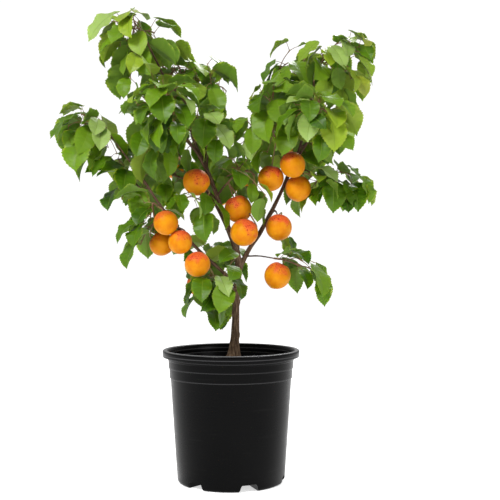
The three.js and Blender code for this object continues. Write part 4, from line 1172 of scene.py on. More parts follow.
# Leaf tones. The dark, deep, mid and light greens are lit and shaded copies of one green, dealt as painted
# light and shade.
LEAF_TONES = [
    ("leaf_dark", (0.03, 0.075, 0.001), 0.42, 0.22),
    ("leaf_deep", (0.06, 0.13, 0.002), 0.42, 0.22),
    ("leaf_mid", (0.102, 0.19, 0.005), 0.44, 0.2),
    ("leaf_light", (0.16, 0.25, 0.014), 0.46, 0.22),
    # A pale green, dealt to some of the most lit leaves as a painted sheen.
    ("leaf_pale_sheen", (0.23, 0.33, 0.08), 0.5, 0.25),
    ("leaf_young", (0.19, 0.27, 0.014), 0.42, 0.22),
    ("leaf_tip", (0.2, 0.235, 0.02), 0.42, 0.22),
    ("leaf_under", (0.1, 0.175, 0.018), 0.6, 0.15),
    ("leaf_under_young", (0.18, 0.25, 0.025), 0.58, 0.15),
    ("leaf_vein", (0.13, 0.21, 0.02), 0.5, 0.15),
    ("leaf_stalk", (0.16, 0.08, 0.03), 0.5, 0.2),
]
LEAF_SLOTS = [leaf_material(*tone) for tone in LEAF_TONES]
PALE, YOUNG, TIP, UNDER, UNDER_YOUNG, VEIN, STALK = 4, 5, 6, 7, 8, 9, 10

# Young leaves are common in the crown's upper rim and few elsewhere, at the tips of finer twigs.
CROWN_MIDDLE = np.array([-30.0, 0.0, 650.0])
CROWN_HALF = np.array([330.0, 230.0, 320.0])
CROWN_FOOT = 400
CROWN_HEIGHT = 560
RIM_FROM_REACH = 0.95
RIM_FROM_HEIGHT = 0.3
YOUNG_IN_RIM = 0.6
YOUNG_ON_TIPS = 0.1
TIP_SHARE = 0.4
TIP_AGE = 1.9
# Painted light and shade of the leaves: a leaf's green is lighter high in the crown and at the outside of its
# mass, and darker low and deep inside, with random tone by spray and leaf.
PALE_LIGHT = 1.6
PALE_SHARE = 0.14
LIGHT_BASE = 0.9
LIGHT_BY_HEIGHT = 1.1
LIGHT_OUTSIDE = 0.7
LIGHT_BY_SPRAY = 1.3
LIGHT_BY_LEAF = 1.5

# Leaf blade: rows across it slant forwards, as its side veins do, and end in the teeth of its rim.
LEAF_ROWS = 26
VEIN_ROWS = 4
LEAF_ACROSS = np.array([-1, -0.74, -0.5, -0.26, -0.022, 0.022, 0.26, 0.5, 0.74, 1])
HALF_WIDTH = 0.365
OUTLINE = [
    (0, 0.04), (0.015, 0.27), (0.04, 0.5), (0.08, 0.7), (0.14, 0.87), (0.22, 0.965), (0.32, 1), (0.42, 0.99),
    (0.52, 0.93), (0.61, 0.83), (0.69, 0.7), (0.76, 0.55), (0.82, 0.4), (0.87, 0.27), (0.91, 0.17),
    (0.95, 0.085), (1, 0.008),
]
SLANT = [
    (0, -0.1), (0.06, -0.06), (0.15, 0.02), (0.3, 0.085), (0.55, 0.105), (0.8, 0.07), (0.93, 0.025), (1, 0),
]
TOOTH_DEPTH = 0.026
TOOTH_LEAST = 0.4
TOOTH_FORWARD = 0.01
TEETH_FROM = 0.04
TEETH_TO = 0.97
QUILT_DEPTH = 0.012
QUILT_RUN = 0.96
QUILT_FROM = 0.02
BLADE_THICKNESS = 0.4
MIDRIB_THICKNESS = 1.2
LEAF_RNG = np.random.default_rng(7)

# How blades differ: for each shape, its least value and its spread.
FOLD = (0.06, 0.32)
ARCH = (0.03, 0.08)
CURL = (0.05, 0.15)
WAVE = (0.02, 0.05)
WIDENING = (0.94, 0.18)
WAVES_A_BLADE = (1.6, 1)
TWIST = 0.9
SWAY = 0.08
LOPSIDED = 0.12
FOLD_ROUND = 0.02


def leaf_template():
    t = np.linspace(0, 1, LEAF_ROWS + 1)[:, None]
    a = LEAF_ACROSS[None]
    width = np.interp(t, *zip(*OUTLINE)) * HALF_WIDTH
    peak = (np.arange(LEAF_ROWS + 1) % 2 == 1)[:, None]
    rim = (np.abs(a) == 1) & (t > TEETH_FROM) & (t < TEETH_TO)
    tooth = np.where(rim & ~peak, -TOOTH_DEPTH, 0) * (TOOTH_LEAST + (1 - TOOTH_LEAST) * width / HALF_WIDTH)
    forward = np.where(rim & peak, TOOTH_FORWARD, 0)
    along = t + np.interp(t, *zip(*SLANT)) * np.abs(a) + forward
    aside = a * (width + tooth)
    quilt = 0.5 - 0.5 * np.cos(TURN * np.arange(LEAF_ROWS + 1) / VEIN_ROWS)[:, None]
    across_half = np.minimum(np.abs(a) * QUILT_RUN + QUILT_FROM, 1)
    quilt = quilt * np.sin(math.pi * across_half) * width / HALF_WIDTH
    return np.broadcast_to(along, aside.shape), aside, quilt, t * np.ones_like(aside)


ALONG, ASIDE, QUILT, SHARE = leaf_template()
TOP_FACES = grid_faces(LEAF_ROWS + 1, len(LEAF_ACROSS), closed=False)
MIDRIB = np.tile(np.arange(len(LEAF_ACROSS) - 1), LEAF_ROWS) == len(LEAF_ACROSS) // 2 - 1
THICKNESSES = np.where(np.abs(LEAF_ACROSS) == 1, NEARLY_CLOSED, 1)
THICKNESSES = BLADE_THICKNESS * THICKNESSES * (1 + MIDRIB_THICKNESS * (np.abs(LEAF_ACROSS) < 0.1))


def drawn(spread, share):
    return spread[0] + spread[1] * share


# A blade of two sides, folded along its midrib, arched, curled at the tip, twisted and ruffled.
def leaf_mesh(piece, leaf, tone, under):
    draw = LEAF_RNG.random(10)
    sides = np.sign(ASIDE)
    bow = 4 * ALONG * (1 - ALONG)
    aside = ASIDE * drawn(WIDENING, draw[8]) * (1 + LOPSIDED * (draw[9] - 0.5) * sides)
    flat = np.hypot(aside, FOLD_ROUND) - FOLD_ROUND
    rise = drawn(FOLD, draw[0]) * flat + QUILT_DEPTH * QUILT + drawn(ARCH, draw[1]) * bow
    rise -= drawn(CURL, draw[2]) * np.clip(ALONG, 0, 2) ** 3
    ruffle = np.sin(TURN * (drawn(WAVES_A_BLADE, draw[7]) * ALONG + draw[5]) + sides)
    rise += drawn(WAVE, draw[4]) * ruffle * (ASIDE / HALF_WIDTH) ** 2
    lean = TWIST * (draw[3] - 0.5) * SHARE
    wide = aside * np.cos(lean) - rise * np.sin(lean) + SWAY * (draw[6] - 0.5) * bow
    lift = rise * np.cos(lean) + aside * np.sin(lean)
    parts = zip((ALONG, wide, lift), (leaf.ahead, leaf.side, leaf.normal))
    top = leaf.base + leaf.length * sum(amount[..., None] * axis for amount, axis in parts)
    low = top - leaf.normal * THICKNESSES[None, :, None]
    piece.add(top.reshape(-1, 3), TOP_FACES, np.where(MIDRIB, VEIN, tone))
    piece.add(low.reshape(-1, 3), TOP_FACES[:, ::-1], np.where(MIDRIB, VEIN, under))
    stalk_mesh(piece, leaf)


STALK_WIDTHS = np.array([1.05, 0.7, 0.6, 0.58, 0.58, 0.55, 0.4])
STALK_ARCH = 0.05
STALK_UNDER = (0.3, 0.35)
STALK_ALONG = 0.04
STALK_SIDES = 6
STALK_LEAST = 0.7
STALK_BY_LEAF = 0.3


# A leaf's stalk, from the twig to a little way under the blade.
def stalk_mesh(piece, leaf):
    reach = np.linalg.norm(leaf.base - leaf.root)
    middle = (leaf.root + leaf.base) / 2 + UP * STALK_ARCH * reach
    join = leaf.base - leaf.normal * STALK_UNDER[0]
    end = leaf.base + leaf.ahead * leaf.length * STALK_ALONG - leaf.normal * STALK_UNDER[1]
    curve = Curve([leaf.root, middle, join, end])
    points = curve.at(np.linspace(0, 1, len(STALK_WIDTHS)))
    widths = STALK_WIDTHS * (STALK_LEAST + STALK_BY_LEAF * leaf.length / LEAF_LENGTH)
    piece.add(*tube(points, widths, STALK_SIDES), STALK)


def leaf_tone(mass, leaf, draw):
    height = (leaf.centre[2] - CROWN_FOOT) / CROWN_HEIGHT
    reach = np.linalg.norm((leaf.centre - CROWN_MIDDLE) / CROWN_HALF)
    often = YOUNG_ON_TIPS if leaf.age > TIP_AGE else 0
    if reach > RIM_FROM_REACH and height > RIM_FROM_HEIGHT:
        often = YOUNG_IN_RIM
    if leaf.age >= 1 and draw[1] < often:
        return (TIP if draw[2] < TIP_SHARE else YOUNG), UNDER_YOUNG
    # Painted light and shade: the dark, deep, mid and light greens are dealt by where the leaf stands in the
    # crown and in its mass, with random tone between sprays and leaves added.
    outside = np.linalg.norm((leaf.centre - mass.middle) / mass.half)
    light = LIGHT_BASE + LIGHT_BY_HEIGHT * height + LIGHT_OUTSIDE * outside
    light += LIGHT_BY_SPRAY * (leaf.spray - 0.5) + LIGHT_BY_LEAF * (draw[0] - 0.5)
    # Some of the most lit leaves take the pale tone, a painted sheen.
    if light > PALE_LIGHT and draw[1] > 1 - PALE_SHARE:
        return PALE, UNDER_YOUNG
    return int(min(max(light, 0), 3)), UNDER


for mass in MASS_LIST:
    piece = Piece()
    for leaf in mass.leaves:
        tone, under = leaf_tone(mass, leaf, LEAF_RNG.random(3))
        leaf_mesh(piece, leaf, tone, under)
    made = piece.make("leaves_" + mass.name.removeprefix("foliage_"), LEAF_SLOTS)
    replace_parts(made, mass.name)


# Twigs, with a bud and a slight swelling wherever a leaf or finer twig leaves them.
TWIG_BARK = [(0.3, (0.085, 0.04, 0.022)), (0.55, (0.16, 0.085, 0.04)), (0.75, (0.21, 0.14, 0.06))]
YOUNG_BARK = [(0.35, (0.17, 0.06, 0.03)), (0.6, (0.2, 0.15, 0.04))]
TWIG_SIDES = 8
TWIG_SPACING = 5
PAST_LAST_NODE = 0.02
SHORTEST_SHOWN = 0.1
NODE_SWELLING = 0.35
STEM_OVERLAP = 4
BUD_WIDTHS = np.array([0.45, 0.42, 0.3, 0.1])
BUD_PLACES = np.array([0.2, 0.5, 0.8, 1.1])[:, None]
BUD_SIZE = 2.6
BUD_LEAST = 0.6
BUD_BY_TWIG = 0.25
BUD_PLUMPNESS = 0.8
BUD_SIDES = 6
BUD_OUT = 0.9
BUD_TURNS = 40


def twig_mesh(piece, twig):
    steps = max(int(twig.curve.length() / TWIG_SPACING), 5)
    last = 1 if twig.kind == "stalk" else min(max(twig.nodes, default=0) + PAST_LAST_NODE, 1)
    if last < SHORTEST_SHOWN:
        return
    shares = np.linspace(0, last, steps + 1)
    radii = twig.radii[0] + (twig.radii[1] - twig.radii[0]) * shares
    for place in twig.nodes:
        radii = radii + NODE_SWELLING * np.exp(-(((shares - place) * steps) ** 2))
    points = twig.curve.at(shares)
    if twig.kind == "stem":
        points = np.vstack([points[0] - twig.curve.tangent(0) * STEM_OVERLAP, points])
        radii = np.append(radii[0] * 0.9, radii)
    piece.add(*tube(points, radii, TWIG_SIDES), 1 if twig.kind in ("fine", "stalk") else 0)
    for place in twig.nodes:
        bud_mesh(piece, twig, place)


def bud_mesh(piece, twig, place):
    tangent, side, other = twig.frame(place)
    heading = unit(tangent + BUD_OUT * around(side, other, place * BUD_TURNS))
    reach = BUD_SIZE * (BUD_LEAST + BUD_BY_TWIG * twig.radii[0])
    points = twig.curve.at(place) + heading * BUD_PLACES * reach
    piece.add(*tube(points, BUD_WIDTHS * reach * BUD_PLUMPNESS, BUD_SIDES), 1)


twigs = Piece()
for mass in MASS_LIST:
    for twig in mass.twigs:
        twig_mesh(twigs, twig)
twig_bark = mottled_material("twig_bark", 0.6, 0.3, 160, 3, TWIG_BARK, 0.4, 0.0004)
twig_young = mottled_material("twig_young", 0.45, 0.4, 120, 2, YOUNG_BARK, 0.3, 0.0003)
twigs.make("twigs", [twig_bark, twig_young])


# Bark: tubes of all limbs joined into one skin, smoothed, and worked over with its relief.
LIMB_SIDES = 20
LIMB_SPACING = 2
COLLAR = 0.35
BARK_OUT = 0.15
BARK_VOXEL = 0.0011
OLD_WOOD = (2.2, 5)
RUN_BETWEEN_LIMBS = 1000
FLUTE_TOP = 262
FLUTE_HEIGHT = 22
FLUTE_DEPTH = 2.2
FLUTES = 5
FLUTE_SWAY = 0.6
FLUTED_RADIUS = 6

# Knots of the trunk: middle, spread and rise. Each has a narrower hollow in it.
KNOT_HOLLOW = 0.6
KNOT_HOLLOW_WIDTH = 0.35
KNOTS = [
    ((17, -3, 365), 5, 2.2), ((0, -4, 341), 4.5, 2), ((15, -3, 297), 5.5, 2.4),
    ((5, 7, 320), 5, 2.2), ((12, 8, 385), 5, 2), ((-2, 5, 282), 5, 1.8),
]


def limb_line(name, radii):
    curve = CURVES[name]
    count = max(int(curve.length() / LIMB_SPACING), 8)
    shares = np.linspace(0, 1, count + 1)
    points = curve.at(shares)
    widths = limb_radius(name, radii, shares, points) * np.ones(count + 1)
    if name != "trunk":
        run = shares * curve.length()
        widths = widths * (1 + COLLAR * np.exp(-run / (3 * radii[0])))
    return points, widths


def make_bark():
    lines = {limb[0]: limb_line(limb[0], limb[3]) for limb in LIMBS}
    skins = Piece()
    for points, widths in lines.values():
        skins.add(*tube(points, widths + BARK_OUT, LIMB_SIDES, close_foot=True), 0)
    mesh = skins.mesh("bark_tubes", [])
    close_mesh(mesh, joined_within=1e-6, largest_hole=LIMB_SIDES, face_out=False)
    rough = add_object("bark_tubes", mesh)
    voxels = rough.modifiers.new("skin", "REMESH")
    voxels.mode = "VOXEL"
    voxels.voxel_size = BARK_VOXEL * 1
    smooth = rough.modifiers.new("smooth", "SMOOTH")
    smooth.factor = 0.5
    smooth.iterations = 5
    skin = worked_mesh(rough)
    bpy.data.objects.remove(rough)
    carve_bark(skin, lines)
    return skin


def vectors_of(items, key):
    values = np.empty(len(items) * 3, dtype=np.float32)
    items.foreach_get(key, values)
    return values.reshape(-1, 3).astype(float)


# For each point: which place of which limb's middle line it belongs to.
def nearest_places(points, centres, widths):
    tree = kdtree.KDTree(len(centres))
    for i, centre in enumerate(centres):
        tree.insert(centre, i)
    tree.balance()
    hits = [min(tree.find_n(point, 4), key=lambda hit: abs(hit[2] - widths[hit[1]])) for point in points]
    return np.array([hit[1] for hit in hits])


# Ridges and cracks along the grain, which are deeper in old wood, and fine rings across it. What the
# place is divided by is their size in millimetres.
def bark_relief(place, old):
    x, y, z = place
    ridge = noise.noise((x / 2.6, y / 2.6, z / 16))
    crack = abs(noise.noise((x / 1.7 + 9, y / 1.7, z / 9)))
    swell = noise.noise((x / 9, y / 9, z / 22 + 5))
    ring = noise.noise((x / 6 + 4, y / 6, z / 1.6))
    relief = 0.34 * ridge - 0.4 * max(0.14 - crack, 0) / 0.14 + 0.5 * swell
    return relief * (0.25 + 0.75 * old) + 0.1 * ring


# Moves the skin by the bark's relief, its knots and the flutes at the foot of the trunk.
def carve_bark(skin, lines):
    rows = []
    for number, (points, radii) in enumerate(lines.values()):
        gaps = np.linalg.norm(np.diff(points, axis=0), axis=1)
        runs = np.append(0, np.cumsum(gaps)) + RUN_BETWEEN_LIMBS * number
        rows.append(np.column_stack([points, *carried_frames(points), runs, radii]))
    rows = np.vstack(rows)
    co = vectors_of(skin.vertices, "co") / MM
    rows = rows[nearest_places(co, rows[:, :3], rows[:, 13])]
    centres, axes, firsts, seconds = (rows[:, k:k + 3] for k in (0, 3, 6, 9))
    runs, radii = rows[:, 12], rows[:, 13]
    offset = co - centres
    x, y, z = (np.einsum("ij,ij->i", offset, frame) for frame in (firsts, seconds, axes))
    grain = np.column_stack([x, y, z + runs])
    old = np.clip((radii - OLD_WOOD[0]) / OLD_WOOD[1], 0, 1)
    height = np.array([bark_relief(place, age) for place, age in zip(grain, old)])
    for centre, spread, rise in KNOTS:
        gap = np.linalg.norm(co - np.array(centre, float), axis=1) / spread
        height += rise * (np.exp(-(gap**2)) - KNOT_HOLLOW * np.exp(-((gap / KNOT_HOLLOW_WIDTH) ** 2)))
    low = np.clip((FLUTE_TOP - co[:, 2]) / FLUTE_HEIGHT, 0, 1) * (radii > FLUTED_RADIUS)
    angle = np.arctan2(offset[:, 1], offset[:, 0])
    height += low * FLUTE_DEPTH * np.sin(FLUTES * angle + FLUTE_SWAY * np.sin(2 * angle))
    co += vectors_of(skin.vertex_normals, "vector") * height[:, None]
    skin.vertices.foreach_set("co", (co * MM).astype(np.float32).ravel())
    add_layer(skin, "grain", grain * MM)
    add_layer(skin, "old", old)
    smooth_faces(skin)
    skin.update()


OLD_BARK = [
    (0.28, (0.02, 0.012, 0.007)), (0.45, (0.08, 0.047, 0.026)),
    (0.6, (0.16, 0.105, 0.063)), (0.78, (0.29, 0.205, 0.135)),
]
YOUNGER_BARK = [(0.3, (0.035, 0.018, 0.011)), (0.55, (0.085, 0.045, 0.027)), (0.75, (0.15, 0.09, 0.055))]


def bark_material():
    made = Nodes("bark")
    made.set(Roughness=0.85, Specular_IOR_Level=0.2)
    streaks = made.noise(made.place((420, 420, 55), "grain"), 1, 4, 0.6)
    patches = made.noise(made.place((90, 90, 30), "grain"), 1, 2)
    fine = made.noise(made.place((1100, 1100, 380), "grain"), 1, 3)
    dots = made.noise(made.place((300, 300, 900), "grain"), 1, 1)
    old = made.attribute("old", "Fac")
    grey = made.ramp(streaks, OLD_BARK)
    brown = made.ramp(streaks, YOUNGER_BARK)
    colour = made.mix(made.span(old, 0.1, 0.75), brown, grey)
    dark = made.mix(made.span(patches, 0.5, 0.72, 0, 0.55), colour, (0.06, 0.038, 0.024))
    pale = made.mix(made.span(dots, 0.66, 0.74, 0, 0.6), dark, (0.31, 0.235, 0.165))
    made.link(pale, "Base Color")
    relief = made.maths("ADD", made.maths("MULTIPLY", streaks, 0.7), made.maths("MULTIPLY", fine, 0.5))
    made.bump(relief, 0.6, 0.0009)
    return made.material


bark_mesh = make_bark()
bark_mesh.materials.append(bark_material())
bark = place_piece("bark", bark_mesh)
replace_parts(bark, *[limb[0] for limb in LIMBS])


# Apricots, with their suture, the hollow at the stalk and a blush on the side that saw the sun.
FRUIT_ROWS = 34
FRUIT_COLUMNS = 44
SUTURE_TURNS = [0.9, 2.4, 4.2, 1.7, 3.3, 5.1, 0.4, 2.9, 4.8, 3.9, 1.1, 5.6, 2.2, 0.7, 3.5, 4.4, 1.5, 5.9]
FACING_SUTURE = 2
FACING_TURN = 0.45
SUTURE_DEPTH = 0.05
SUTURE_WIDTH = 0.17
HOLLOW_DEPTH = 0.16
HOLLOW_WIDTH = 0.3
APEX_RISE = 0.035
APEX_WIDTH = 0.22
FLATTER = 0.02
LONGEST = 0.05
SHORTEST_POLAR = 0.02
LONGEST_POLAR = math.pi - 0.01
SUN_AHEAD = -0.55
SUN_UP = 0.85
SUN_BY_STALK = 0.35
BLUSH_FROM = 0.35
BLUSH_PATCHES = 0.5
BLUSH_PATCH_SIZE = 12
BLUSH_CONTRAST = 1.6
BLUSH = [0.9, 0.75, 0.35, 0.7, 0.95, 1, 0.6, 0.4, 0.8, 0.9, 1, 0.8, 0.6, 0.8, 0.7, 0.8, 0.6, 0.7]
GROUND = [(0.32, (0.53, 0.155, 0.001)), (0.5, (0.58, 0.2, 0.0015)), (0.7, (0.62, 0.25, 0.003))]
RED = [(0.35, (0.53, 0.045, 0.015)), (0.65, (0.64, 0.11, 0.03))]


def fruit_mesh(piece, number, fruit):
    _, centre, radius, stalk, _ = fruit
    axis = unit(np.array(stalk, float))
    side, other = across(axis)
    polar = np.linspace(SHORTEST_POLAR, LONGEST_POLAR, FRUIT_ROWS + 1)[:, None]
    turn = turns_of(FRUIT_COLUMNS)[None]
    suture = SUTURE_TURNS[number]
    if number == FACING_SUTURE:
        suture = math.atan2(-other[1], -side[1]) + FACING_TURN
    off = np.angle(np.exp(1j * (turn - suture)))
    groove = SUTURE_DEPTH * np.exp(-((off / SUTURE_WIDTH) ** 2)) * np.sin(polar) ** 0.6
    dimple = HOLLOW_DEPTH * np.exp(-((polar / HOLLOW_WIDTH) ** 2))
    apex = APEX_RISE * np.exp(-(((math.pi - polar) / APEX_WIDTH) ** 2))
    size = radius * (1 - groove - dimple + apex - FLATTER * np.cos(2 * off) * np.sin(polar) ** 2)
    along = np.cos(polar) * size * (1 + LONGEST * ((number * 5) % 7) / 6)
    out = np.sin(polar) * size
    parts = zip((along, out * np.cos(turn), out * np.sin(turn)), (axis, side, other))
    points = sum(amount[..., None] * direction for amount, direction in parts)
    aside = 0.3 - 0.9 * ((number * 7) % 5) / 4
    sun = unit(np.array([aside, SUN_AHEAD, SUN_UP]) + SUN_BY_STALK * axis)
    patches = [[noise.noise(point / BLUSH_PATCH_SIZE + number * 3) for point in row] for row in points]
    blush = points @ sun / radius - BLUSH_FROM + BLUSH_PATCHES * np.array(patches)
    blush = np.clip(blush * BLUSH_CONTRAST, 0, 1) * BLUSH[number]
    faces = grid_faces(FRUIT_ROWS + 1, FRUIT_COLUMNS)[:, ::-1]
    piece.add((points + np.array(centre)).reshape(-1, 3), faces, 0, blush=blush.ravel())


def fruit_material():
    made = Nodes("apricot_skin")
    made.set(Roughness=0.48, Specular_IOR_Level=0.1, Sheen_Weight=0.02, Sheen_Roughness=0.4)
    made.set(Subsurface_Weight=0.15, Subsurface_Scale=0.003, Subsurface_Radius=(1.0, 0.4, 0.1))
    blush = made.attribute("blush", "Fac")
    patches = made.noise(made.place(), 55, 3)
    fine = made.noise(made.place(), 380, 3)
    specks = made.noise(made.place(), 340, 1, 0.4)
    share = made.span(made.maths("ADD", blush, made.span(fine, 0, 1, -0.3, 0.3)), 0.1, 0.75, 0, 0.9)
    colour = made.mix(share, made.ramp(patches, GROUND), made.ramp(fine, RED))
    dotted = made.maths("MULTIPLY", made.span(specks, 0.6, 0.66), made.span(blush, 0.12, 0.4, 0.0, 0.85))
    made.link(made.mix(dotted, colour, (0.33, 0.026, 0.01)), "Base Color")
    made.bump(fine, 0.15, 0.0004)
    return made.material


apricots = Piece()
for number, fruit in enumerate(APRICOTS):
    fruit_mesh(apricots, number, fruit)
apricots.make("apricots", [fruit_material()])


# Pot: a turned shell with rounded corners, its drain channels joined on and cut through.
def rounded(corners, steps=4):
    line = []
    for i, (x, z, radius) in enumerate(corners):
        here = np.array([x, z], float)
        if radius == 0:
            line.append(here)
            continue
        back = np.array(corners[i - 1][:2], float) - here
        on = np.array(corners[i + 1][:2], float) - here
        reach = min(radius, 0.45 * np.linalg.norm(back), 0.45 * np.linalg.norm(on))
        start, end = here + unit(back) * reach, here + unit(on) * reach
        for k in range(steps + 1):
            w = k / steps
            line.append(start * (1 - w) ** 2 + here * 2 * w * (1 - w) + end * w * w)
    return np.array(line)


# Corners of the pot's outline: radius, height and how far the corner is rounded.
POT_OUTSIDE = [(0, 0, 0), (40, 0, 0), (BASE_RADIUS, 0, BASE_CORNER), (116, 100, 60)]
for height, below, above in LEDGES:
    POT_OUTSIDE += [(below, height, 0.5), (above, height + 1, 0.5)]
POT_OUTSIDE += [(COLLAR_RADIUS, LIP_FOOT, 1.2), (LIP_RADIUS - 0.8, LIP_FOOT, 0.9)]
POT_OUTSIDE += [(LIP_RADIUS, POT_HEIGHT, 4.2)]
POT_INSIDE = [
    (131, POT_HEIGHT, 2), (127.9, 263.5, 2), (126.8, 256, 1.5), (126.6, 250, 0.4), (125.6, 249.4, 0.4),
    (123.6, 226, 1), (121.4, 206, 1), (106.8, 9.2, 5), (101, POT_WALL, 2), (0, POT_WALL, 0),
]
POT_INNER_WALL = [
    (123.3, 226), (121.1, 206), (107.3, 20), (DRAIN_INNER - 5, 20), (DRAIN_INNER - 7, 2.6), (0.05, 2.6),
]
DRAIN_OUTER = 150
DRAIN_BELOW = 5
DRAIN_CORNER = 5
ROOF_INSET = 0.8
ROOF_SHRINK = 0.99
ROOF_LIFT = 0.7


def lathe(profile, sides):
    turns = turns_of(sides)
    rings = np.stack([profile[:, :1] * np.cos(turns), profile[:, :1] * np.sin(turns),
                      profile[:, 1:] * np.ones(sides)], axis=-1)
    return rings.reshape(-1, 3), grid_faces(len(profile), sides)


def loose_object(name, points, faces):
    mesh = mesh_of(name, points, faces, np.zeros(len(faces)), [])
    close_mesh(mesh, joined_within=1e-5, largest_hole=0, face_out=True)
    return add_object(name, mesh)


# Bars that lie where the drain channels are, each with an arched section.
def drain_bars(name, grow, start, end):
    foot, top, height = DRAIN_FOOT / 2 + grow, DRAIN_TOP / 2 + grow, DRAIN_HEIGHT + grow
    low = foot + DRAIN_BELOW * (foot - top) / height
    corners = [(low, -DRAIN_BELOW, 0), (top, height, DRAIN_CORNER)]
    arch = rounded(corners + [(-x, z, radius) for x, z, radius in corners[::-1]], 5)
    points, faces = [], []
    for k in range(DRAINS):
        turn = DRAIN_TURN + k * TURN / DRAINS
        out = np.array([math.sin(turn), -math.cos(turn), 0])
        side = np.array([math.cos(turn), math.sin(turn), 0])
        for reach in (start, end):
            points.append(out * reach + arch[:, :1] * side + arch[:, 1:] * UP)
        faces.append(grid_faces(2, len(arch)) + 2 * k * len(arch))
    return loose_object(name, np.vstack(points), np.vstack(faces))


def join_or_cut(piece, tool, operation):
    modifier = piece.modifiers.new(operation, "BOOLEAN")
    modifier.operation = operation
    modifier.object = tool
    modifier.solver = "EXACT"
    mesh = worked_mesh(piece)
    piece.modifiers.clear()
    piece.data = mesh
    bpy.data.objects.remove(tool)


def make_pot():
    profile = rounded(POT_OUTSIDE + POT_INSIDE)
    pot = loose_object("pot_shell", *lathe(profile, POT_SEGMENTS))
    solid = rounded(POT_OUTSIDE + [(120, POT_HEIGHT, 0), (0, POT_HEIGHT, 0)])
    inset = np.maximum(solid[:, 0] - ROOF_INSET, 0)
    solid = np.column_stack([inset, solid[:, 1] * ROOF_SHRINK + ROOF_LIFT])
    roofs = drain_bars("drain_roofs", POT_WALL, DRAIN_INNER - POT_WALL, DRAIN_OUTER)
    join_or_cut(roofs, loose_object("pot_solid", *lathe(solid, POT_SEGMENTS)), "INTERSECT")
    join_or_cut(pot, roofs, "UNION")
    join_or_cut(pot, drain_bars("drain_cuts", 0, DRAIN_INNER, DRAIN_OUTER), "DIFFERENCE")
    mesh = pot.data
    bpy.data.objects.remove(pot)
    mesh.materials.clear()
    mesh.materials.append(pot_material())
    mesh.polygons.foreach_set("material_index", np.zeros(len(mesh.polygons), dtype=np.int32))
    smooth_faces(mesh)
    mesh.set_sharp_from_angle(angle=math.radians(38))
    mesh.update()
    return mesh


# Painted highlights: bands of paler base colour at the pot's edges that catch the light, the lip's top and
# the inner ledge among them: height, half width and strength.
PAINTED_EDGE_HIGHLIGHTS = [
    (POT_HEIGHT, 1.8, 0.8), (259, 1.3, 0.3), (250.5, 1.2, 0.25), (233, 1.3, 0.18), (213, 1.3, 0.22),
]


def pot_material():
    made = Nodes("pot_plastic")
    made.set(Specular_IOR_Level=0.065)
    place = made.place()
    grain = made.noise(place, 1500, 2)
    cloud = made.noise(place, 14, 4)
    scuffs = made.noise(made.place((9, 9, 160)), 1, 4, 0.6)
    base = made.mix(made.span(cloud, 0.35, 0.75, 0, 0.5), (0.0004, 0.0004, 0.0005), (0.0018, 0.0018, 0.0019))
    dull = made.mix(made.span(scuffs, 0.6, 0.75, 0, 0.3), base, (0.012, 0.0117, 0.0114))
    height = made.node("ShaderNodeSeparateXYZ", {"Vector": place}).outputs["Z"]
    painted_highlight = None
    for middle, half, strength in PAINTED_EDGE_HIGHLIGHTS:
        gap = made.maths("ABSOLUTE", made.maths("SUBTRACT", height, middle * MM), 0)
        band = made.span(gap, 0, half * MM, strength, 0)
        painted_highlight = band if painted_highlight is None else made.maths("MAXIMUM", painted_highlight, band)
    # The bands mix a pale grey into the base colour as a painted highlight on the edges.
    made.link(made.mix(painted_highlight, dull, (0.16, 0.16, 0.165)), "Base Color")
    gloss = made.maths("ADD", cloud, made.maths("MULTIPLY", scuffs, 0.5))
    made.link(made.span(gloss, 0.4, 1.1, 0.22, 0.36), "Roughness")
    made.bump(grain, 0.12, 0.0003)
    return made.material


pot = place_piece("pot_body", make_pot())
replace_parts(pot, "pot")


# Potting mix: a crumbly surface over one plug, with bark chips pressed into it. Its lumps, crumbs and
# grit each have a height and a size.
LUMPS = (2, 15)
CRUMBS = (1.3, 6)
GRIT = (1.1, 2.8)
MIX_SUNK = 0.8


def mix_height(x, y):
    reach = math.hypot(x, y)
    level = MIX_TOP - MIX_EDGE_DROP * max(reach - MIX_FLAT_RADIUS, 0) / (MIX_RADIUS - MIX_FLAT_RADIUS)
    lumps = LUMPS[0] * noise.noise((x / LUMPS[1], y / LUMPS[1], 3))
    crumbs = CRUMBS[0] * abs(noise.noise((x / CRUMBS[1], y / CRUMBS[1], 8)))
    grit = GRIT[0] * abs(noise.noise((x / GRIT[1], y / GRIT[1], 1)))
    return level - MIX_SUNK + (lumps + crumbs) + grit


MIX_TONES = [(0.35, (0.012, 0.008, 0.006)), (0.5, (0.035, 0.023, 0.015)), (0.68, (0.085, 0.058, 0.037))]
CHIP_TONES = [(0.35, (0.03, 0.017, 0.01)), (0.55, (0.1, 0.055, 0.03)), (0.72, (0.17, 0.105, 0.06))]


def mix_material():
    made = Nodes("potting_mix")
    made.set(Roughness=0.92, Specular_IOR_Level=0.25)
    place = made.place()
    crumbs = made.noise(place, 220, 5, 0.7)
    damp = made.noise(place, 25, 2)
    colour = made.ramp(crumbs, MIX_TONES)
    made.link(made.mix(made.span(damp, 0.35, 0.65, 0, 0.5), colour, (0.02, 0.014, 0.01)), "Base Color")
    made.bump(crumbs, 0.9, 0.0015)
    return made.material


def chip_material():
    made = Nodes("bark_chips")
    made.set(Roughness=0.85, Specular_IOR_Level=0.25)
    made.link(made.ramp(made.noise(made.place(), 90, 3), CHIP_TONES), "Base Color")
    made.bump(made.noise(made.place((400, 1600, 400)), 1, 3), 0.6, 0.0008)
    return made.material


MIX_RINGS = 90
MIX_SEGMENTS = 260
CHIPS = 420
CHIPS_WITHIN = 119
CHIP_ROWS = 4
CHIP_SIDES = 7
CHIP_TIP = np.array([0.02, 0.02, 1])
CHIP_SIZES = [(2, 4), (1.2, 2), (0.5, 0.9)]
CHIP_UNEVEN = 0.35
CHIP_END = 0.25
CHIP_TIPPING = 0.5
CHIP_LIFT = 0.3
CHIP_RNG = np.random.default_rng(21)


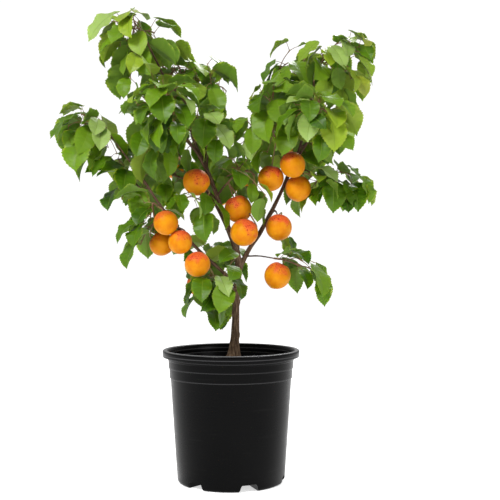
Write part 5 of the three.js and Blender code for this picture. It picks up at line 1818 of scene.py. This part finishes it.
def make_mix():
    piece = Piece()
    turns = turns_of(MIX_SEGMENTS)
    rows = []
    for reach in np.linspace(0.1, MIX_RADIUS, MIX_RINGS):
        row = [(reach * math.cos(turn), reach * math.sin(turn)) for turn in turns]
        rows.append([(x, y, mix_height(x, y)) for x, y in row])
    for reach, height in POT_INNER_WALL:
        rows.append([(reach * math.cos(turn), reach * math.sin(turn), height) for turn in turns])
    piece.add(np.vstack(rows), grid_faces(len(rows), MIX_SEGMENTS)[:, ::-1], 0)
    for _ in range(CHIPS):
        reach = CHIPS_WITHIN * math.sqrt(CHIP_RNG.random())
        turn = TURN * CHIP_RNG.random()
        add_chip(piece, reach * math.cos(turn), reach * math.sin(turn))
    return piece.make("mix_surface", [mix_material(), chip_material()])


# One chip: an uneven flattened ball, turned, tipped and laid on the mix.
def add_chip(piece, x, y):
    size = np.array([drawn(spread, CHIP_RNG.random()) for spread in CHIP_SIZES])
    polar = np.linspace(CHIP_END, math.pi - CHIP_END, CHIP_ROWS)[:, None]
    turn = turns_of(CHIP_SIDES)[None]
    level = np.cos(polar) * np.ones(CHIP_SIDES)
    ball = np.stack([np.sin(polar) * np.cos(turn), np.sin(polar) * np.sin(turn), level], axis=-1)
    ball = ball * (1 + CHIP_UNEVEN * (CHIP_RNG.random((CHIP_ROWS, CHIP_SIDES, 1)) - 0.5)) * size
    ball = np.vstack([ball[:1] * CHIP_TIP, ball, ball[-1:] * CHIP_TIP])
    spin = TURN * CHIP_RNG.random()
    tip = CHIP_TIPPING * (CHIP_RNG.random() - 0.5)
    right, back, up = np.moveaxis(ball, -1, 0)
    right, up = around(right, -up, tip), around(up, right, tip)
    right, back = around(right, -back, spin), around(back, right, spin)
    points = np.stack([x + right, y + back, mix_height(x, y) + CHIP_LIFT + up], axis=-1)
    piece.add(points.reshape(-1, 3), grid_faces(CHIP_ROWS + 2, CHIP_SIDES)[:, ::-1], 1)


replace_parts(make_mix(), "potting_mix")


# Stage, light and camera.
FLOOR_HALF = 40
FLOOR = [(-FLOOR_HALF, -FLOOR_HALF, 0), (FLOOR_HALF, -FLOOR_HALF, 0), (FLOOR_HALF, FLOOR_HALF, 0),
         (-FLOOR_HALF, FLOOR_HALF, 0)]
WORLD_LIGHT = 0.5
WORLD_SEEN = 1.05


def make_stage():
    made = Nodes("floor")
    made.set(Base_Color=(0.9, 0.9, 0.9, 1), Roughness=0.9, Specular_IOR_Level=0.1)
    made.set(Emission_Color=(1, 1, 1, 1), Emission_Strength=0.62)
    points = np.array(FLOOR, float) / MM
    mesh = mesh_of("floor", points, np.array([[0, 1, 2, 3]]), np.zeros(1), [made.material])
    add_object("floor", mesh)


def add_light(name, place, target, size, watts):
    lamp = bpy.data.lights.new(name, "AREA")
    lamp.shape = "DISK"
    lamp.size = size
    lamp.energy = watts
    made = add_object(name, lamp)
    made.location = place
    made.rotation_euler = (Vector(target) - Vector(place)).to_track_quat("-Z", "Y").to_euler()


# A white world, brighter where the camera looks at it than where it lights the tree.
def make_world():
    world = bpy.data.worlds.new("studio")
    world.use_nodes = True
    tree = world.node_tree
    sky = tree.nodes["Background"]
    sky.inputs["Color"].default_value = (1, 1, 1, 1)
    seen = tree.nodes.new("ShaderNodeLightPath")
    level = tree.nodes.new("ShaderNodeMapRange")
    level.inputs["To Min"].default_value = WORLD_LIGHT
    level.inputs["To Max"].default_value = WORLD_SEEN
    tree.links.new(seen.outputs["Is Camera Ray"], level.inputs["Value"])
    tree.links.new(level.outputs["Result"], sky.inputs["Strength"])
    bpy.context.scene.world = world


def make_camera():
    lens = bpy.data.cameras.new("camera")
    lens.lens = LENS
    lens.sensor_width = SENSOR
    camera = add_object("camera", lens)
    camera.location = CAMERA * MM
    camera.rotation_euler = (math.pi / 2, 0, 0)
    bpy.context.scene.camera = camera


make_stage()
add_light("key_light", (-1.2, -1.9, 2.4), (0, 0, 0.55), 0.9, 75)
add_light("fill_light", (1.9, -1.6, 1.3), (0, 0, 0.5), 1.4, 18)
add_light("rim_light", (0.6, 1.9, 2.2), (0, 0, 0.65), 1.0, 40)
make_world()
make_camera()
bpy.context.scene.view_settings.view_transform = "Standard"
